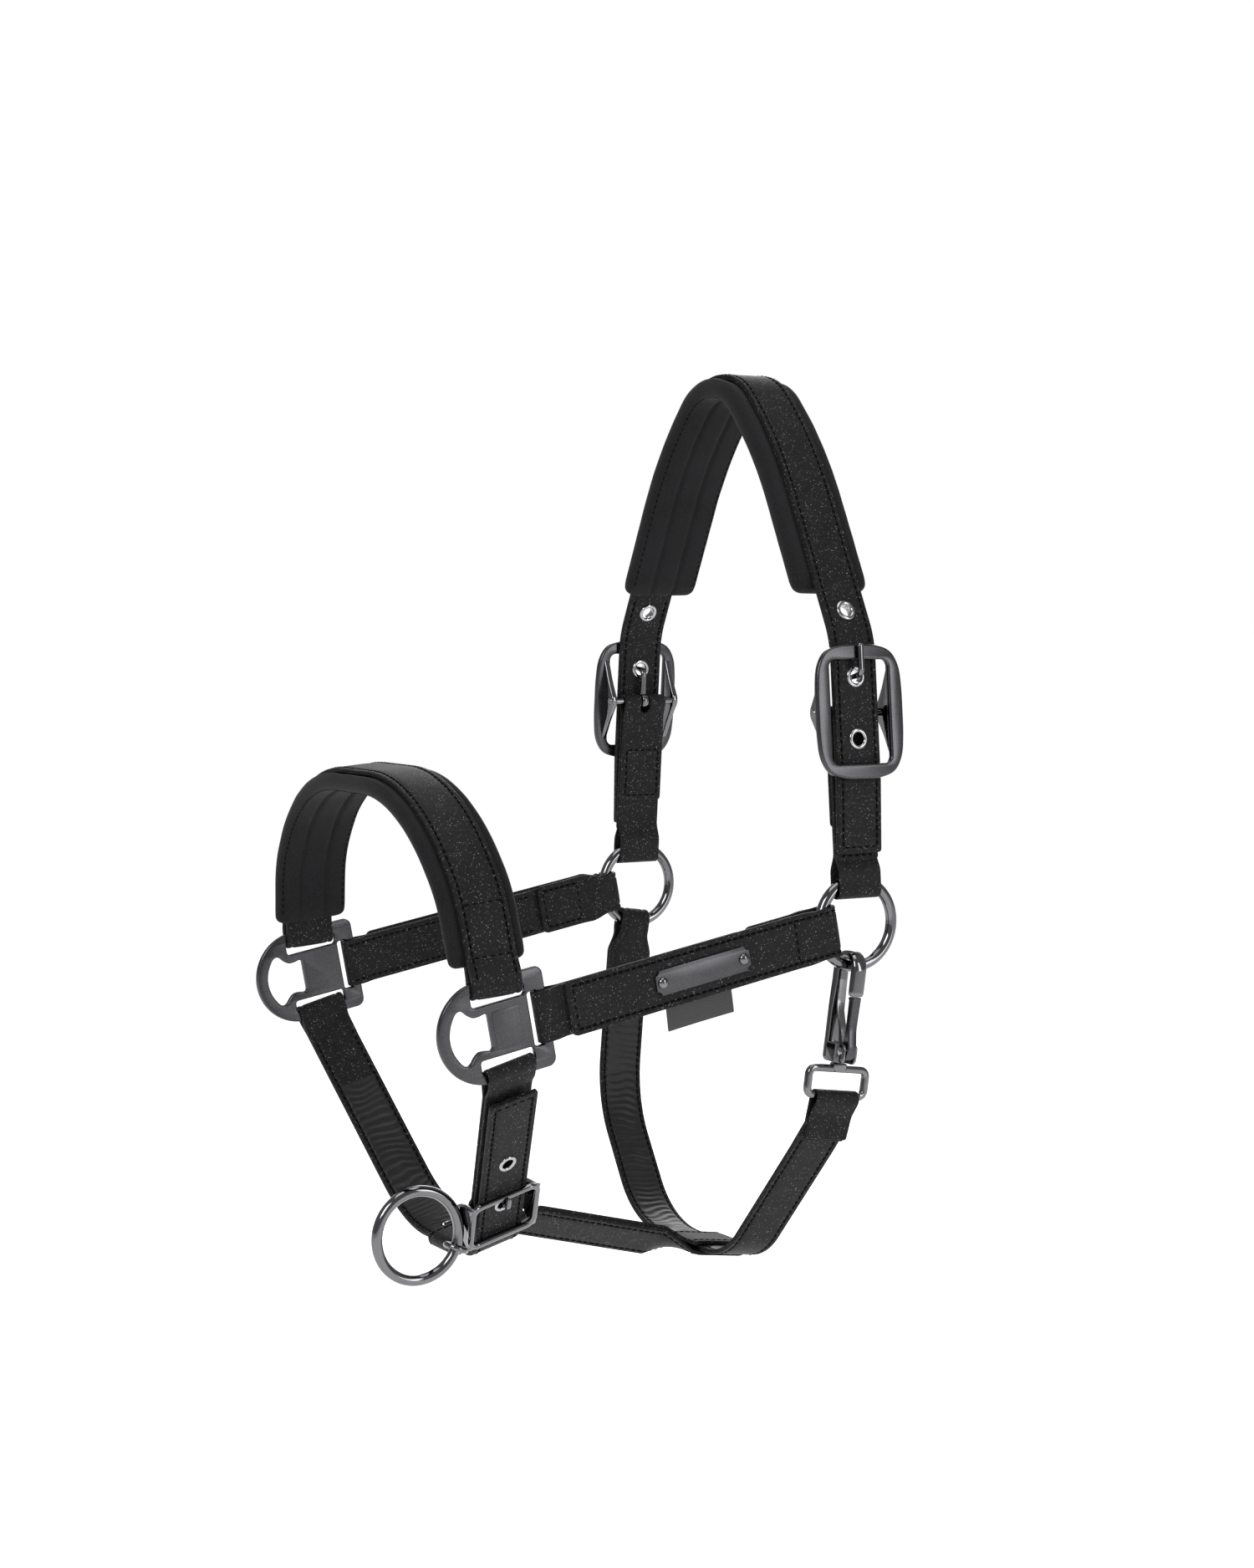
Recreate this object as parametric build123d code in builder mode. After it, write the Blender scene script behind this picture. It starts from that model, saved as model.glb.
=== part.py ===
from build123d import *
import math
import os

# Headcollar (horse halter) in its worn shape, built from flat straps and cast fittings.
# Frame: +Z up, the nose points to -Y, the horse's left side is +X.
# The origin is the underside of the crown pad at its highest point.

os.makedirs("parts", exist_ok=True)

# ---------------------------------------------------------------- driving sizes, mm
strap_width = 25.0
layer = 2.0  # one folded layer of strap
strap = 3.0  # a lined, stitched strap
gap = 0.35  # play of a loop on a wire or flat bar
bar_gap = 0.15  # play of a loop on a buckle bar
seat = 0.1  # distance between two layers that lie on each other

side_x = 105.5  # plane of the cheek rings and nose fittings
ring_z = -259.0
ring_mean = 21.0
ring_wire = 2.75

crown_tilt = 5.0  # the side straps lean inwards towards the poll
crown_bar_up = 81.0  # ring wire to buckle bar, along the strap
crown_pad_thick = 9.0
crown_pad_width = 42.0
crown_pad_end_z = -96.0

frame_width = 50.0
frame_height = 65.0
frame_window_width = 34.0
frame_window_height = 49.0
frame_thick = 3.2
bar_radius = 2.0
tongue_thick = 2.8

cheek_pitch = 10.5  # cheek straps and nose fittings drop towards the nose
cheek_loop_width = 20.0  # the cheek strap narrows where it passes the ring
cheek_neck = 28.0
fitting_reach = 192.0  # ring centre to fitting centre, along the cheek strap
fitting_thick = 3.0
fitting_front = 13.0
fitting_half_height = 23.5
fitting_rear = -20.0
slot_inner = 12.3
slot_outer = 18.0
rear_slot_start = -15.5
rear_slot_end = -10.5
block_front = 10.5

nose_lean = 5.0
nose_height = 91.0
nose_pad_thick = 7.5
nose_pad_width = 38.0

chin_lean = 15.0
chin_depth = 100.0
chin_bottom_half = 36.0
chin_bar_down = 92.0
chin_frame_width = 40.0
chin_frame_height = 31.5
chin_window_width = 29.0
chin_window_height = 23.5
lead_ring_mean = 21.0
lead_ring_wire = 2.6
lead_eye_mean = 4.7
lead_eye_wire = 1.5
lead_lean = 22.0  # the lead ring lies forwards, lifted by this angle

throat_lean = 8.0
throat_depth = 176.0
throat_loop_width = 15.0  # the throat strap narrows where it passes the ring
throat_neck = 30.0
jaw_x = 10.0

snap_thick = 8.0
eye_width = 37.0
eye_wire = 1.9

# ---------------------------------------------------------------- derived places


def loop_drop(width):
    """How far a ring's wire falls away inside a loop of this width."""
    return ring_mean - math.sqrt(ring_mean**2 - (width / 2) ** 2) + 0.8


ring_drop = loop_drop(strap_width)
loop_hole = ring_wire + gap
billet_out = bar_radius + bar_gap + layer + bar_gap + strap / 2


def lean(angle):
    """Sine and cosine of an angle in degrees."""
    return math.sin(math.radians(angle)), math.cos(math.radians(angle))


tilt_s, tilt_c = lean(crown_tilt)
pitch_s, pitch_c = lean(cheek_pitch)
nose_s, nose_c = lean(nose_lean)
chin_s, chin_c = lean(chin_lean)
throat_s, throat_c = lean(throat_lean)
lead_s, lead_c = lean(lead_lean)

# Left side of the headpiece: x outwards, y up along the strap, from the ring's top wire.
crown_side = Plane(
    origin=(side_x, 0, ring_z + ring_mean), x_dir=(tilt_c, 0, tilt_s), z_dir=(0, -1, 0)
)
# Face of the left crown buckle: x backwards, y up along the strap, z outwards.
crown_face = Plane(
    origin=crown_side.origin, x_dir=(0, 1, 0), z_dir=(tilt_c, 0, tilt_s)
)
# Left cheek strap seen from above: x along the strap to the nose, y outwards.
cheek_top = Plane(
    origin=(side_x, 0, ring_z), x_dir=(0, -pitch_c, -pitch_s), z_dir=(0, -pitch_s, pitch_c)
)
# Left cheek strap seen from outside: x along the strap to the nose, y up, z inwards.
cheek_face = Plane(
    origin=(side_x, 0, ring_z), x_dir=(0, -pitch_c, -pitch_s), z_dir=(-1, 0, 0)
)
fitting_face = Plane(
    origin=cheek_face.from_local_coords((fitting_reach, 0, 0)),
    x_dir=cheek_face.x_dir,
    z_dir=cheek_face.z_dir,
)
slot_length = 27.0
slot_middle = rear_slot_end + 1 + slot_length / 2
bar_middle = (slot_outer + fitting_half_height) / 2
top_bar = fitting_face.from_local_coords((slot_middle, bar_middle, 0))
low_bar = fitting_face.from_local_coords((slot_middle, -bar_middle, 0))
# Frontal planes of the strap arches: x to the left side, y up, z forwards.
nose_plane = Plane(origin=(0, top_bar.Y, top_bar.Z), x_dir=(1, 0, 0), z_dir=(0, -nose_c, -nose_s))
chin_plane = Plane(origin=(0, low_bar.Y, low_bar.Z), x_dir=(1, 0, 0), z_dir=(0, -chin_c, -chin_s))
throat_plane = Plane(origin=(0, 0, ring_z), x_dir=(1, 0, 0), z_dir=(0, -throat_c, throat_s))


def save(piece, name):
    """Label a finished piece and write its file."""
    piece.part.label = name
    export_step(piece.part, f"parts/{name}.step")


def save_mirrored(piece, name):
    """Write the right-hand copy of a left-hand piece."""
    with BuildPart() as copy:
        mirror(piece.part, about=Plane.YZ)
    save(copy, name)


def hull(ends, radius, mode=Mode.ADD):
    """Stadium between two points, added to the sketch in progress."""
    with BuildSketch(mode=Mode.PRIVATE) as shape:
        with Locations(*ends):
            Circle(radius)
        make_hull()
    add(shape.sketch, mode=mode)


def band(points, radii, width, mode=Mode.ADD):
    """Strap section of constant thickness along a path of runs and tangent arcs."""
    with BuildSketch(mode=Mode.PRIVATE) as shape:
        with BuildLine() as path:
            if len(points) > 2:
                FilletPolyline(*points, radius=radii)
            else:
                Line(*points)
        trace(path.line, line_width=width)
    add(shape.sketch, mode=mode)


def flat_lining(points, radii, inner, thick, keep, keep_at):
    """Lining on the inner side of an arch: a band inside the path, cut off at its ends."""
    with BuildSketch(mode=Mode.PRIVATE) as shape:
        band(points, radii, 2 * (inner + thick))
        band(points, radii, 2 * inner, mode=Mode.SUBTRACT)
        with BuildSketch(mode=Mode.PRIVATE) as inside:
            with BuildLine():
                arch = FilletPolyline(*points, radius=radii)
                Line(arch @ 0, arch @ 1)
            make_face()
        add(inside.sketch, mode=Mode.INTERSECT)
        with Locations(keep_at):
            Rectangle(*keep, mode=Mode.INTERSECT)
    add(shape.sketch)


def mirrored_x(points):
    """The same points on the other side of the middle plane, in the opposite order."""
    return [(-x, y) for x, y in reversed(points)]


# ---------------------------------------------------------------- headpiece
# Left cheek ring, a round welded ring that turns in the strap loops.
with BuildPart() as left_cheek_ring:
    Torus(ring_mean, ring_wire, rotation=(0, 90, 0))
    left_cheek_ring.part.locate(Location((side_x, 0, ring_z)))
save(left_cheek_ring, "left_cheek_ring")
save_mirrored(left_cheek_ring, "right_cheek_ring")

# Left crown chape: a folded strap from the ring to the buckle bar.
with BuildPart() as left_crown_chape:
    with BuildSketch(crown_side):
        hull([(0, 0), (0, -ring_drop)], loop_hole + layer)
        with Locations((0, crown_bar_up)):
            Circle(bar_radius + bar_gap + layer)
        with Locations((0, crown_bar_up / 2)):
            Rectangle(2 * layer, crown_bar_up)
        hull([(0, 0), (0, -ring_drop)], loop_hole, mode=Mode.SUBTRACT)
        with Locations((0, crown_bar_up)):
            Circle(bar_radius + bar_gap, mode=Mode.SUBTRACT)
    extrude(amount=strap_width / 2, both=True)
    with BuildSketch(crown_face):
        with Locations((0, crown_bar_up + 1)):
            Rectangle(6.4, 14)
    extrude(amount=8, both=True, mode=Mode.SUBTRACT)
save(left_crown_chape, "left_crown_chape")
save_mirrored(left_crown_chape, "right_crown_chape")

# Left crown buckle frame: a flat cast frame whose side arms reach inwards to the bar.
frame_inner = billet_out + strap / 2 + 0.3
with BuildPart() as left_crown_frame:
    with BuildSketch(crown_face.offset(frame_inner)):
        with Locations((0, crown_bar_up)):
            RectangleRounded(frame_width, frame_height, 13)
            RectangleRounded(
                frame_window_width, frame_window_height, 5, mode=Mode.SUBTRACT
            )
    extrude(amount=frame_thick)
    fillet(left_crown_frame.edges().filter_by(crown_face), 1.2)
    arm_middle = (frame_window_width / 2 + 0.3 + frame_width / 2 - 1.4) / 2
    for arm_y in (-arm_middle, arm_middle):
        arm_plane = Plane(
            origin=crown_side.origin + Vector(0, arm_y, 0),
            x_dir=crown_side.x_dir,
            z_dir=crown_side.z_dir,
        )
        with BuildSketch(arm_plane):
            with BuildLine():
                Polyline(
                    (frame_inner + 1, crown_bar_up - 21),
                    (frame_inner + 1, crown_bar_up + 21),
                    (frame_inner, crown_bar_up + 21),
                    (-3.2, crown_bar_up + 4),
                    (-3.2, crown_bar_up - 4),
                    (frame_inner, crown_bar_up - 21),
                    close=True,
                )
            make_face()
        extrude(amount=2.3, both=True)
    with BuildSketch(crown_side):
        with Locations((0, crown_bar_up)):
            Circle(bar_radius)
    extrude(amount=frame_width, both=True, mode=Mode.SUBTRACT)
save(left_crown_frame, "left_crown_buckle_frame")
save_mirrored(left_crown_frame, "right_crown_buckle_frame")

with BuildPart() as left_crown_bar:
    with BuildSketch(crown_side):
        with Locations((0, crown_bar_up)):
            Circle(bar_radius)
    extrude(amount=frame_width / 2 - 1.4, both=True)
    chamfer(left_crown_bar.edges().filter_by(GeomType.CIRCLE), 0.4)
save(left_crown_bar, "left_crown_buckle_bar")
save_mirrored(left_crown_bar, "right_crown_buckle_bar")

# Left crown tongue: coiled round the bar, up behind the billet, out through its eyelet.
tongue_eyelet_up = crown_bar_up + 17
tongue_out = frame_inner + frame_thick + 0.15 + tongue_thick / 2
with BuildPart() as left_crown_tongue:
    with BuildSketch(crown_side):
        with Locations((0, crown_bar_up)):
            Circle(bar_radius + 2)
        band(
            [
                (0.4, crown_bar_up + 2.6),
                (0.6, tongue_eyelet_up - 0.6),
                (tongue_out, tongue_eyelet_up + 1),
                (tongue_out, crown_bar_up + 33),
            ],
            [2.6, 2.6],
            tongue_thick,
        )
        with Locations((0, crown_bar_up)):
            Circle(bar_radius + 0.05, mode=Mode.SUBTRACT)
    extrude(amount=1.8, both=True)
save(left_crown_tongue, "left_crown_buckle_tongue")
save_mirrored(left_crown_tongue, "right_crown_buckle_tongue")

# Crown strap: from the left billet end over the poll to the right billet end.
crown_top_z = crown_pad_thick + seat + strap / 2
billet_points = [(layer + seat + strap / 2, 13), (billet_out, 48), (billet_out, 116)]
billet_places = [crown_side.from_local_coords((n, u, 0)) for n, u in billet_points]
left_half = [(place.X, place.Z) for place in billet_places]
left_half += [(52, -26), (17, crown_top_z)]
crown_points = left_half + mirrored_x(left_half)
crown_radii = [30, 45, 200, 38, 38, 200, 45, 30]

shoulder = Vector(*left_half[2]) + (Vector(*left_half[3]) - Vector(*left_half[2])).normalized() * 15
shoulder_dir = (Vector(*left_half[3]) - Vector(*left_half[2])).normalized()
eyelet_planes = [
    Plane(
        origin=crown_side.from_local_coords((billet_out, up, 0)),
        x_dir=(0, 1, 0),
        z_dir=crown_side.x_dir,
    )
    for up in (tongue_eyelet_up, tongue_eyelet_up - 30)
]
eyelet_planes.append(
    Plane(
        origin=(shoulder.X, 0, shoulder.Y),
        x_dir=(0, 1, 0),
        z_dir=(shoulder_dir.Y, 0, -shoulder_dir.X),
    )
)


def eyelet(plane, hole, half):
    """Rolled grommet: a tube with a rim on each face of the strap."""
    with BuildSketch(plane, mode=Mode.PRIVATE) as tube:
        Circle(hole + 0.7)
        Circle(hole, mode=Mode.SUBTRACT)
    extrude(tube.sketch, amount=half, both=True)
    for face in (half, -half - 0.6):
        with BuildSketch(plane.offset(face), mode=Mode.PRIVATE) as rim:
            Circle(hole + 1.5)
            Circle(hole, mode=Mode.SUBTRACT)
        extrude(rim.sketch, amount=0.6)


crown_hole = 3.7
with BuildPart() as crown_strap:
    with BuildSketch(Plane.XZ):
        band(crown_points, crown_radii, strap)
    extrude(amount=strap_width / 2, both=True)
    for plane in eyelet_planes:
        with BuildSketch(plane):
            Circle(crown_hole + 0.75)
        extrude(amount=strap, both=True, mode=Mode.SUBTRACT)
        opposite = Plane(
            origin=(-plane.origin.X, 0, plane.origin.Z),
            x_dir=(0, 1, 0),
            z_dir=(-plane.z_dir.X, 0, plane.z_dir.Z),
        )
        with BuildSketch(opposite):
            Circle(crown_hole + 0.75)
        extrude(amount=strap, both=True, mode=Mode.SUBTRACT)
save(crown_strap, "crown_strap")

with BuildPart() as left_crown_eyelets:
    for plane in eyelet_planes:
        eyelet(plane, crown_hole, strap / 2 + 0.02)
save(left_crown_eyelets, "left_crown_eyelets")
save_mirrored(left_crown_eyelets, "right_crown_eyelets")

with BuildPart() as crown_pad:
    with BuildSketch(Plane.XZ):
        flat_lining(
            crown_points,
            crown_radii,
            strap / 2 + seat,
            crown_pad_thick,
            (300, 60 - crown_pad_end_z),
            (0, (60 + crown_pad_end_z) / 2),
        )
    extrude(amount=crown_pad_width / 2, both=True)
save(crown_pad, "crown_pad")

# ---------------------------------------------------------------- cheeks
rear_bar = (fitting_rear + rear_slot_start) / 2
rear_bar_width = rear_slot_start - fitting_rear
bar_at = fitting_reach + rear_bar
cheek_loop = [(ring_mean, 0), (ring_mean - loop_drop(cheek_loop_width), 0)]
with BuildPart() as left_cheek_strap:
    with BuildSketch(cheek_top):
        with Locations(((cheek_neck + bar_at) / 2, 0)):
            Rectangle(bar_at - cheek_neck, 2 * layer)
        with Locations((bar_at, 0)):
            RectangleRounded(
                rear_bar_width + 2 * (gap + layer), fitting_thick + 2 * (gap + layer), 2.4
            )
        with Locations((bar_at, 0)):
            Rectangle(
                rear_bar_width + 2 * gap, fitting_thick + 2 * gap, mode=Mode.SUBTRACT
            )
    extrude(amount=strap_width / 2 - 0.5, both=True)
    with BuildSketch(cheek_top):
        with Locations(((ring_mean + cheek_neck + 1) / 2, 0)):
            Rectangle(cheek_neck + 1 - ring_mean, 2 * layer)
        hull(cheek_loop, loop_hole + layer)
        hull(cheek_loop, loop_hole, mode=Mode.SUBTRACT)
    extrude(amount=cheek_loop_width / 2, both=True)
save(left_cheek_strap, "left_cheek_strap")
save_mirrored(left_cheek_strap, "right_cheek_strap")

overlay_start = 34.0
overlay_end = 160.0
with BuildPart() as left_cheek_overlay:
    with BuildSketch(cheek_face.offset(-2 * layer - seat)):
        with Locations(((overlay_start + overlay_end) / 2, 0)):
            RectangleRounded(overlay_end - overlay_start, strap_width + 1, 2)
    extrude(amount=layer)
save(left_cheek_overlay, "left_cheek_overlay")
save_mirrored(left_cheek_overlay, "right_cheek_overlay")

# Name plate with notched corners, and its two dome rivets.
plate_at = 91.0
plate_length = 52.0
plate_height = 12.0
rivet_spread = 45.0
plate_under = 2 * layer + seat + 0.05
with BuildPart() as name_plate:
    with BuildSketch(cheek_face.offset(-plate_under - 1)):
        with Locations((plate_at, 0)):
            Rectangle(plate_length, plate_height)
            with GridLocations(plate_length, plate_height, 2, 2):
                Circle(2.2, mode=Mode.SUBTRACT)
            with GridLocations(rivet_spread, 1, 2, 1):
                Circle(1.25, mode=Mode.SUBTRACT)
    extrude(amount=1)
save(name_plate, "name_plate")

with BuildPart() as name_plate_rivets:
    for at in (plate_at - rivet_spread / 2, plate_at + rivet_spread / 2):
        with BuildSketch(cheek_face.offset(-plate_under - 1.2)):
            with Locations((at, 0)):
                Circle(1.2)
        extrude(amount=1.2)
        with BuildSketch(cheek_face.offset(-plate_under - 2.6)):
            with Locations((at, 0)):
                Circle(2.7)
        extrude(amount=1.55)
    fillet(name_plate_rivets.edges().filter_by(GeomType.CIRCLE).group_by(Axis.X)[-1], 1.3)
save(name_plate_rivets, "name_plate_rivets")

# Woven label, sewn in behind the left cheek strap and hanging below it.
with BuildPart() as woven_label:
    with BuildSketch(cheek_face.offset(layer + seat)):
        with Locations((plate_at, -12.5)):
            Rectangle(36, 26)
    extrude(amount=0.6)
save(woven_label, "woven_label")

# ---------------------------------------------------------------- nose fittings
with BuildPart() as left_nose_fitting:
    with BuildSketch(fitting_face):
        with Locations(((fitting_front + fitting_rear) / 2, 0)):
            Rectangle(fitting_front - fitting_rear, 2 * fitting_half_height)
        with Locations((fitting_front, 0)):
            Circle(fitting_half_height)
        with Locations((block_front + 10, 0)):
            RectangleRounded(20, 25, 7, mode=Mode.SUBTRACT)
        with Locations((block_front + 4, 0)):
            Rectangle(8, 23, mode=Mode.SUBTRACT)
        slot_height = slot_outer - slot_inner
        for level in (1, -1):
            with Locations((slot_middle, level * (slot_inner + slot_height / 2))):
                RectangleRounded(slot_length, slot_height, 1, mode=Mode.SUBTRACT)
        with Locations(((rear_slot_start + rear_slot_end) / 2, 0)):
            RectangleRounded(
                rear_slot_end - rear_slot_start, 25.2, 1, mode=Mode.SUBTRACT
            )
    extrude(amount=fitting_thick / 2, both=True)
    corner_edges = left_nose_fitting.edges().filter_by(Axis.X).group_by(Axis.Y)[-1]
    fillet(corner_edges, 3)
save(left_nose_fitting, "left_nose_fitting")
save_mirrored(left_nose_fitting, "right_nose_fitting")

# ---------------------------------------------------------------- noseband
nose_half = [(side_x, 3), (98, 42), (60, nose_height)]
nose_points = nose_half + mirrored_x(nose_half)
nose_radii = [60, 90, 90, 60]
top_bar_half = (fitting_half_height - slot_outer) / 2
bar_skew = 1.3


def bar_loop(at, bar_half, mode=Mode.ADD, wall=0.0):
    """Loop section round the flat bar of a fitting, at a point of a frontal plane."""
    with Locations(at):
        RectangleRounded(
            fitting_thick + 2 * (gap + wall),
            2 * (bar_half + bar_skew + wall),
            0.8 + wall * 0.8,
            mode=mode,
        )


with BuildPart() as noseband_strap:
    with BuildSketch(nose_plane):
        band(nose_points, nose_radii, strap)
        for side in (side_x, -side_x):
            bar_loop((side, 0), top_bar_half, wall=1.5)
            bar_loop((side, 0), top_bar_half, mode=Mode.SUBTRACT)
    extrude(amount=strap_width / 2, both=True)
save(noseband_strap, "noseband_strap")

with BuildPart() as noseband_pad:
    with BuildSketch(nose_plane):
        flat_lining(
            nose_points,
            nose_radii,
            strap / 2 + seat,
            nose_pad_thick,
            (300, 100),
            (0, 62),
        )
    extrude(amount=nose_pad_width / 2, both=True)
save(noseband_pad, "noseband_pad")

# ---------------------------------------------------------------- chin
chin_run = Vector(side_x - chin_bottom_half, chin_depth - 3)
chin_slant = math.degrees(math.atan2(chin_run.X, chin_run.Y))
slant_s, slant_c = lean(chin_slant)
# Left side of the chin strap: x outwards, y up along the strap, from the fitting's low bar.
left_low_bar = chin_plane.from_local_coords((side_x, 0, 0))
chin_x = Vector(slant_c, slant_s * chin_s, -slant_s * chin_c)
chin_y = Vector(slant_s, -slant_c * chin_s, slant_c * chin_c)
chin_z = Vector(0, -chin_c, -chin_s)
chin_side = Plane(origin=left_low_bar, x_dir=chin_x, z_dir=chin_z)
chin_face = Plane(origin=left_low_bar, x_dir=chin_z * -1, z_dir=chin_x)

with BuildPart() as chin_chape:
    with BuildSketch(chin_side):
        with Locations((0, -chin_bar_down / 2)):
            Rectangle(2 * layer, chin_bar_down)
        with Locations((0, -chin_bar_down)):
            Circle(bar_radius + bar_gap + layer)
    extrude(amount=strap_width / 2, both=True)
    with BuildSketch(chin_plane):
        bar_loop((side_x, 0), top_bar_half + 0.2, wall=1.6)
    extrude(amount=strap_width / 2, both=True)
    with BuildSketch(chin_plane):
        bar_loop((side_x, 0), top_bar_half + 0.2)
    extrude(amount=strap_width, both=True, mode=Mode.SUBTRACT)
    with BuildSketch(chin_side):
        with Locations((0, -chin_bar_down)):
            Circle(bar_radius + bar_gap)
    extrude(amount=strap_width, both=True, mode=Mode.SUBTRACT)
    with BuildSketch(chin_face):
        with Locations((0, -chin_bar_down + 2)):
            Rectangle(5.6, 20)
    extrude(amount=8, both=True, mode=Mode.SUBTRACT)
save(chin_chape, "chin_chape")

# Chin buckle: a frame of polished bar stock, its centre bar, tongue and lead ring eye.
chin_inner = billet_out + strap / 2 + 0.25
chin_frame_thick = 3.0
with BuildPart() as chin_buckle_frame:
    with BuildSketch(chin_face.offset(chin_inner)):
        with Locations((0, -chin_bar_down)):
            RectangleRounded(chin_frame_width, chin_frame_height, 6)
            RectangleRounded(
                chin_window_width, chin_window_height, 2.5, mode=Mode.SUBTRACT
            )
    extrude(amount=chin_frame_thick)
    fillet(chin_buckle_frame.edges().filter_by(chin_face), 1.2)
    chin_arm = (chin_window_width / 2 + 0.3 + chin_frame_width / 2 - 1.4) / 2
    for arm in (-chin_arm, chin_arm):
        with BuildSketch(chin_side.offset(arm)):
            with BuildLine():
                Polyline(
                    (chin_inner + 1, -chin_bar_down - 11),
                    (chin_inner + 1, -chin_bar_down + 11),
                    (chin_inner, -chin_bar_down + 11),
                    (-3.0, -chin_bar_down + 3.6),
                    (-3.0, -chin_bar_down - 3.6),
                    (chin_inner, -chin_bar_down - 11),
                    close=True,
                )
            make_face()
        extrude(amount=1.7, both=True)
    with BuildSketch(chin_side):
        with Locations((0, -chin_bar_down)):
            Circle(bar_radius)
    extrude(amount=chin_frame_width, both=True, mode=Mode.SUBTRACT)
    lead_eye = chin_side.from_local_coords(
        (chin_inner + 1.5, -chin_bar_down - 8.5, chin_frame_width / 2 + lead_eye_mean + 0.7)
    )
    eye_plane = Plane(origin=lead_eye, x_dir=(1, 0, 0), z_dir=(0, lead_s, lead_c))
    with Locations(eye_plane):
        Torus(lead_eye_mean, lead_eye_wire)
save(chin_buckle_frame, "chin_buckle_frame")

with BuildPart() as chin_buckle_bar:
    with BuildSketch(chin_side):
        with Locations((0, -chin_bar_down)):
            Circle(bar_radius)
    extrude(amount=chin_frame_width / 2 - 1.4, both=True)
    chamfer(chin_buckle_bar.edges().filter_by(GeomType.CIRCLE), 0.4)
save(chin_buckle_bar, "chin_buckle_bar")

# Lead ring, threaded through the eye of the chin buckle.
lead_centre = lead_eye + Vector(0, -lead_c, lead_s) * lead_ring_mean
with BuildPart() as lead_ring:
    Torus(lead_ring_mean, lead_ring_wire, rotation=(0, 90, 0))
    lead_ring.part.locate(Location(lead_centre))
save(lead_ring, "lead_ring")

chin_tongue_out = chin_inner + chin_frame_thick + 0.15 + 1.2
chin_eyelet_down = chin_bar_down - 6.8
with BuildPart() as chin_buckle_tongue:
    with BuildSketch(chin_side):
        with Locations((0, -chin_bar_down)):
            Circle(bar_radius + 1.6)
        band(
            [
                (0.2, -chin_bar_down + 2.2),
                (chin_inner - 4, -chin_eyelet_down - 0.5),
                (chin_tongue_out, -chin_eyelet_down + 2.2),
                (chin_tongue_out, -chin_bar_down + 15.5),
            ],
            [1.4, 1.6],
            2.2,
        )
        with Locations((0, -chin_bar_down)):
            Circle(bar_radius + 0.05, mode=Mode.SUBTRACT)
    extrude(amount=1.5, both=True)
save(chin_buckle_tongue, "chin_buckle_tongue")

# Chin strap: looped on the right fitting, round under the jaw and up through the buckle.
billet_top = chin_side.from_local_coords((billet_out, -12, 0))
billet_low = chin_side.from_local_coords((billet_out, -60, 0))


def in_chin(point):
    """Position of a point in the frontal plane of the chin strap."""
    local = chin_plane.to_local_coords(point)
    return Vector(local.X, local.Y)


top_at = in_chin(billet_top)
low_at = in_chin(billet_low)
reach = (-chin_depth - top_at.Y) / (low_at.Y - top_at.Y)
bend_at = top_at + (low_at - top_at) * reach
chin_points = [
    (top_at.X, top_at.Y),
    (bend_at.X, bend_at.Y),
    (-chin_bottom_half, -chin_depth),
    (-side_x, -3),
]
chin_radii = [16, 45]
chin_hole = 3.2
chin_eyelet_places = [
    (chin_side.from_local_coords((billet_out, -chin_eyelet_down, 0)), chin_x),
    (chin_side.from_local_coords((billet_out, -chin_eyelet_down + 29, 0)), chin_x),
    (chin_plane.from_local_coords((-8, -chin_depth, 0)), Vector(0, chin_s, -chin_c)),
]
chin_eyelet_planes = [
    Plane(origin=place, x_dir=chin_z, z_dir=normal) for place, normal in chin_eyelet_places
]
with BuildPart() as chin_strap:
    with BuildSketch(chin_plane):
        band(chin_points, chin_radii, strap)
        bar_loop((-side_x, 0), top_bar_half + 0.2, wall=1.6)
        bar_loop((-side_x, 0), top_bar_half + 0.2, mode=Mode.SUBTRACT)
    extrude(amount=strap_width / 2, both=True)
    for plane in chin_eyelet_planes:
        with BuildSketch(plane):
            Circle(chin_hole + 0.75)
        extrude(amount=strap, both=True, mode=Mode.SUBTRACT)
save(chin_strap, "chin_strap")

with BuildPart() as chin_eyelets:
    for plane in chin_eyelet_planes:
        eyelet(plane, chin_hole, strap / 2 + 0.02)
save(chin_eyelets, "chin_eyelets")

# ---------------------------------------------------------------- throat
eye_top_down = 71.0
eye_height = 17.0
eye_low_down = eye_top_down + eye_height - 2 * eye_wire
throat_points = [
    (side_x - 1.5, -eye_low_down - 3),
    (92, -112),
    (44, -throat_depth),
    (-45, -throat_depth),
    (-98, -118),
    (-side_x, -throat_neck),
]
throat_radii = [60, 32, 60, 70]
far_loop = [
    (-side_x, -ring_mean),
    (-side_x, -ring_mean + loop_drop(throat_loop_width)),
]
with BuildPart() as throat_strap:
    with BuildSketch(throat_plane):
        band(throat_points, throat_radii, strap)
        with Locations((side_x, -eye_low_down)):
            Circle(eye_wire + 0.6 + layer)
            Circle(eye_wire + 0.6, mode=Mode.SUBTRACT)
    extrude(amount=strap_width / 2, both=True)
    with BuildSketch(throat_plane):
        band([(-side_x, -ring_mean), (-side_x, -throat_neck - 1)], None, 2 * layer)
        hull(far_loop, loop_hole + layer)
        hull(far_loop, loop_hole, mode=Mode.SUBTRACT)
    extrude(amount=throat_loop_width / 2, both=True)
save(throat_strap, "throat_strap")

# Jaw strap: one loop round the chin strap, one round the throat strap.
chin_low = chin_plane.from_local_coords((0, -chin_depth, 0))
throat_low = throat_plane.from_local_coords((0, -throat_depth, 0))
half_loop = strap_width / 2 + 0.4
loop_inner = strap / 2 + 0.35


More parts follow.
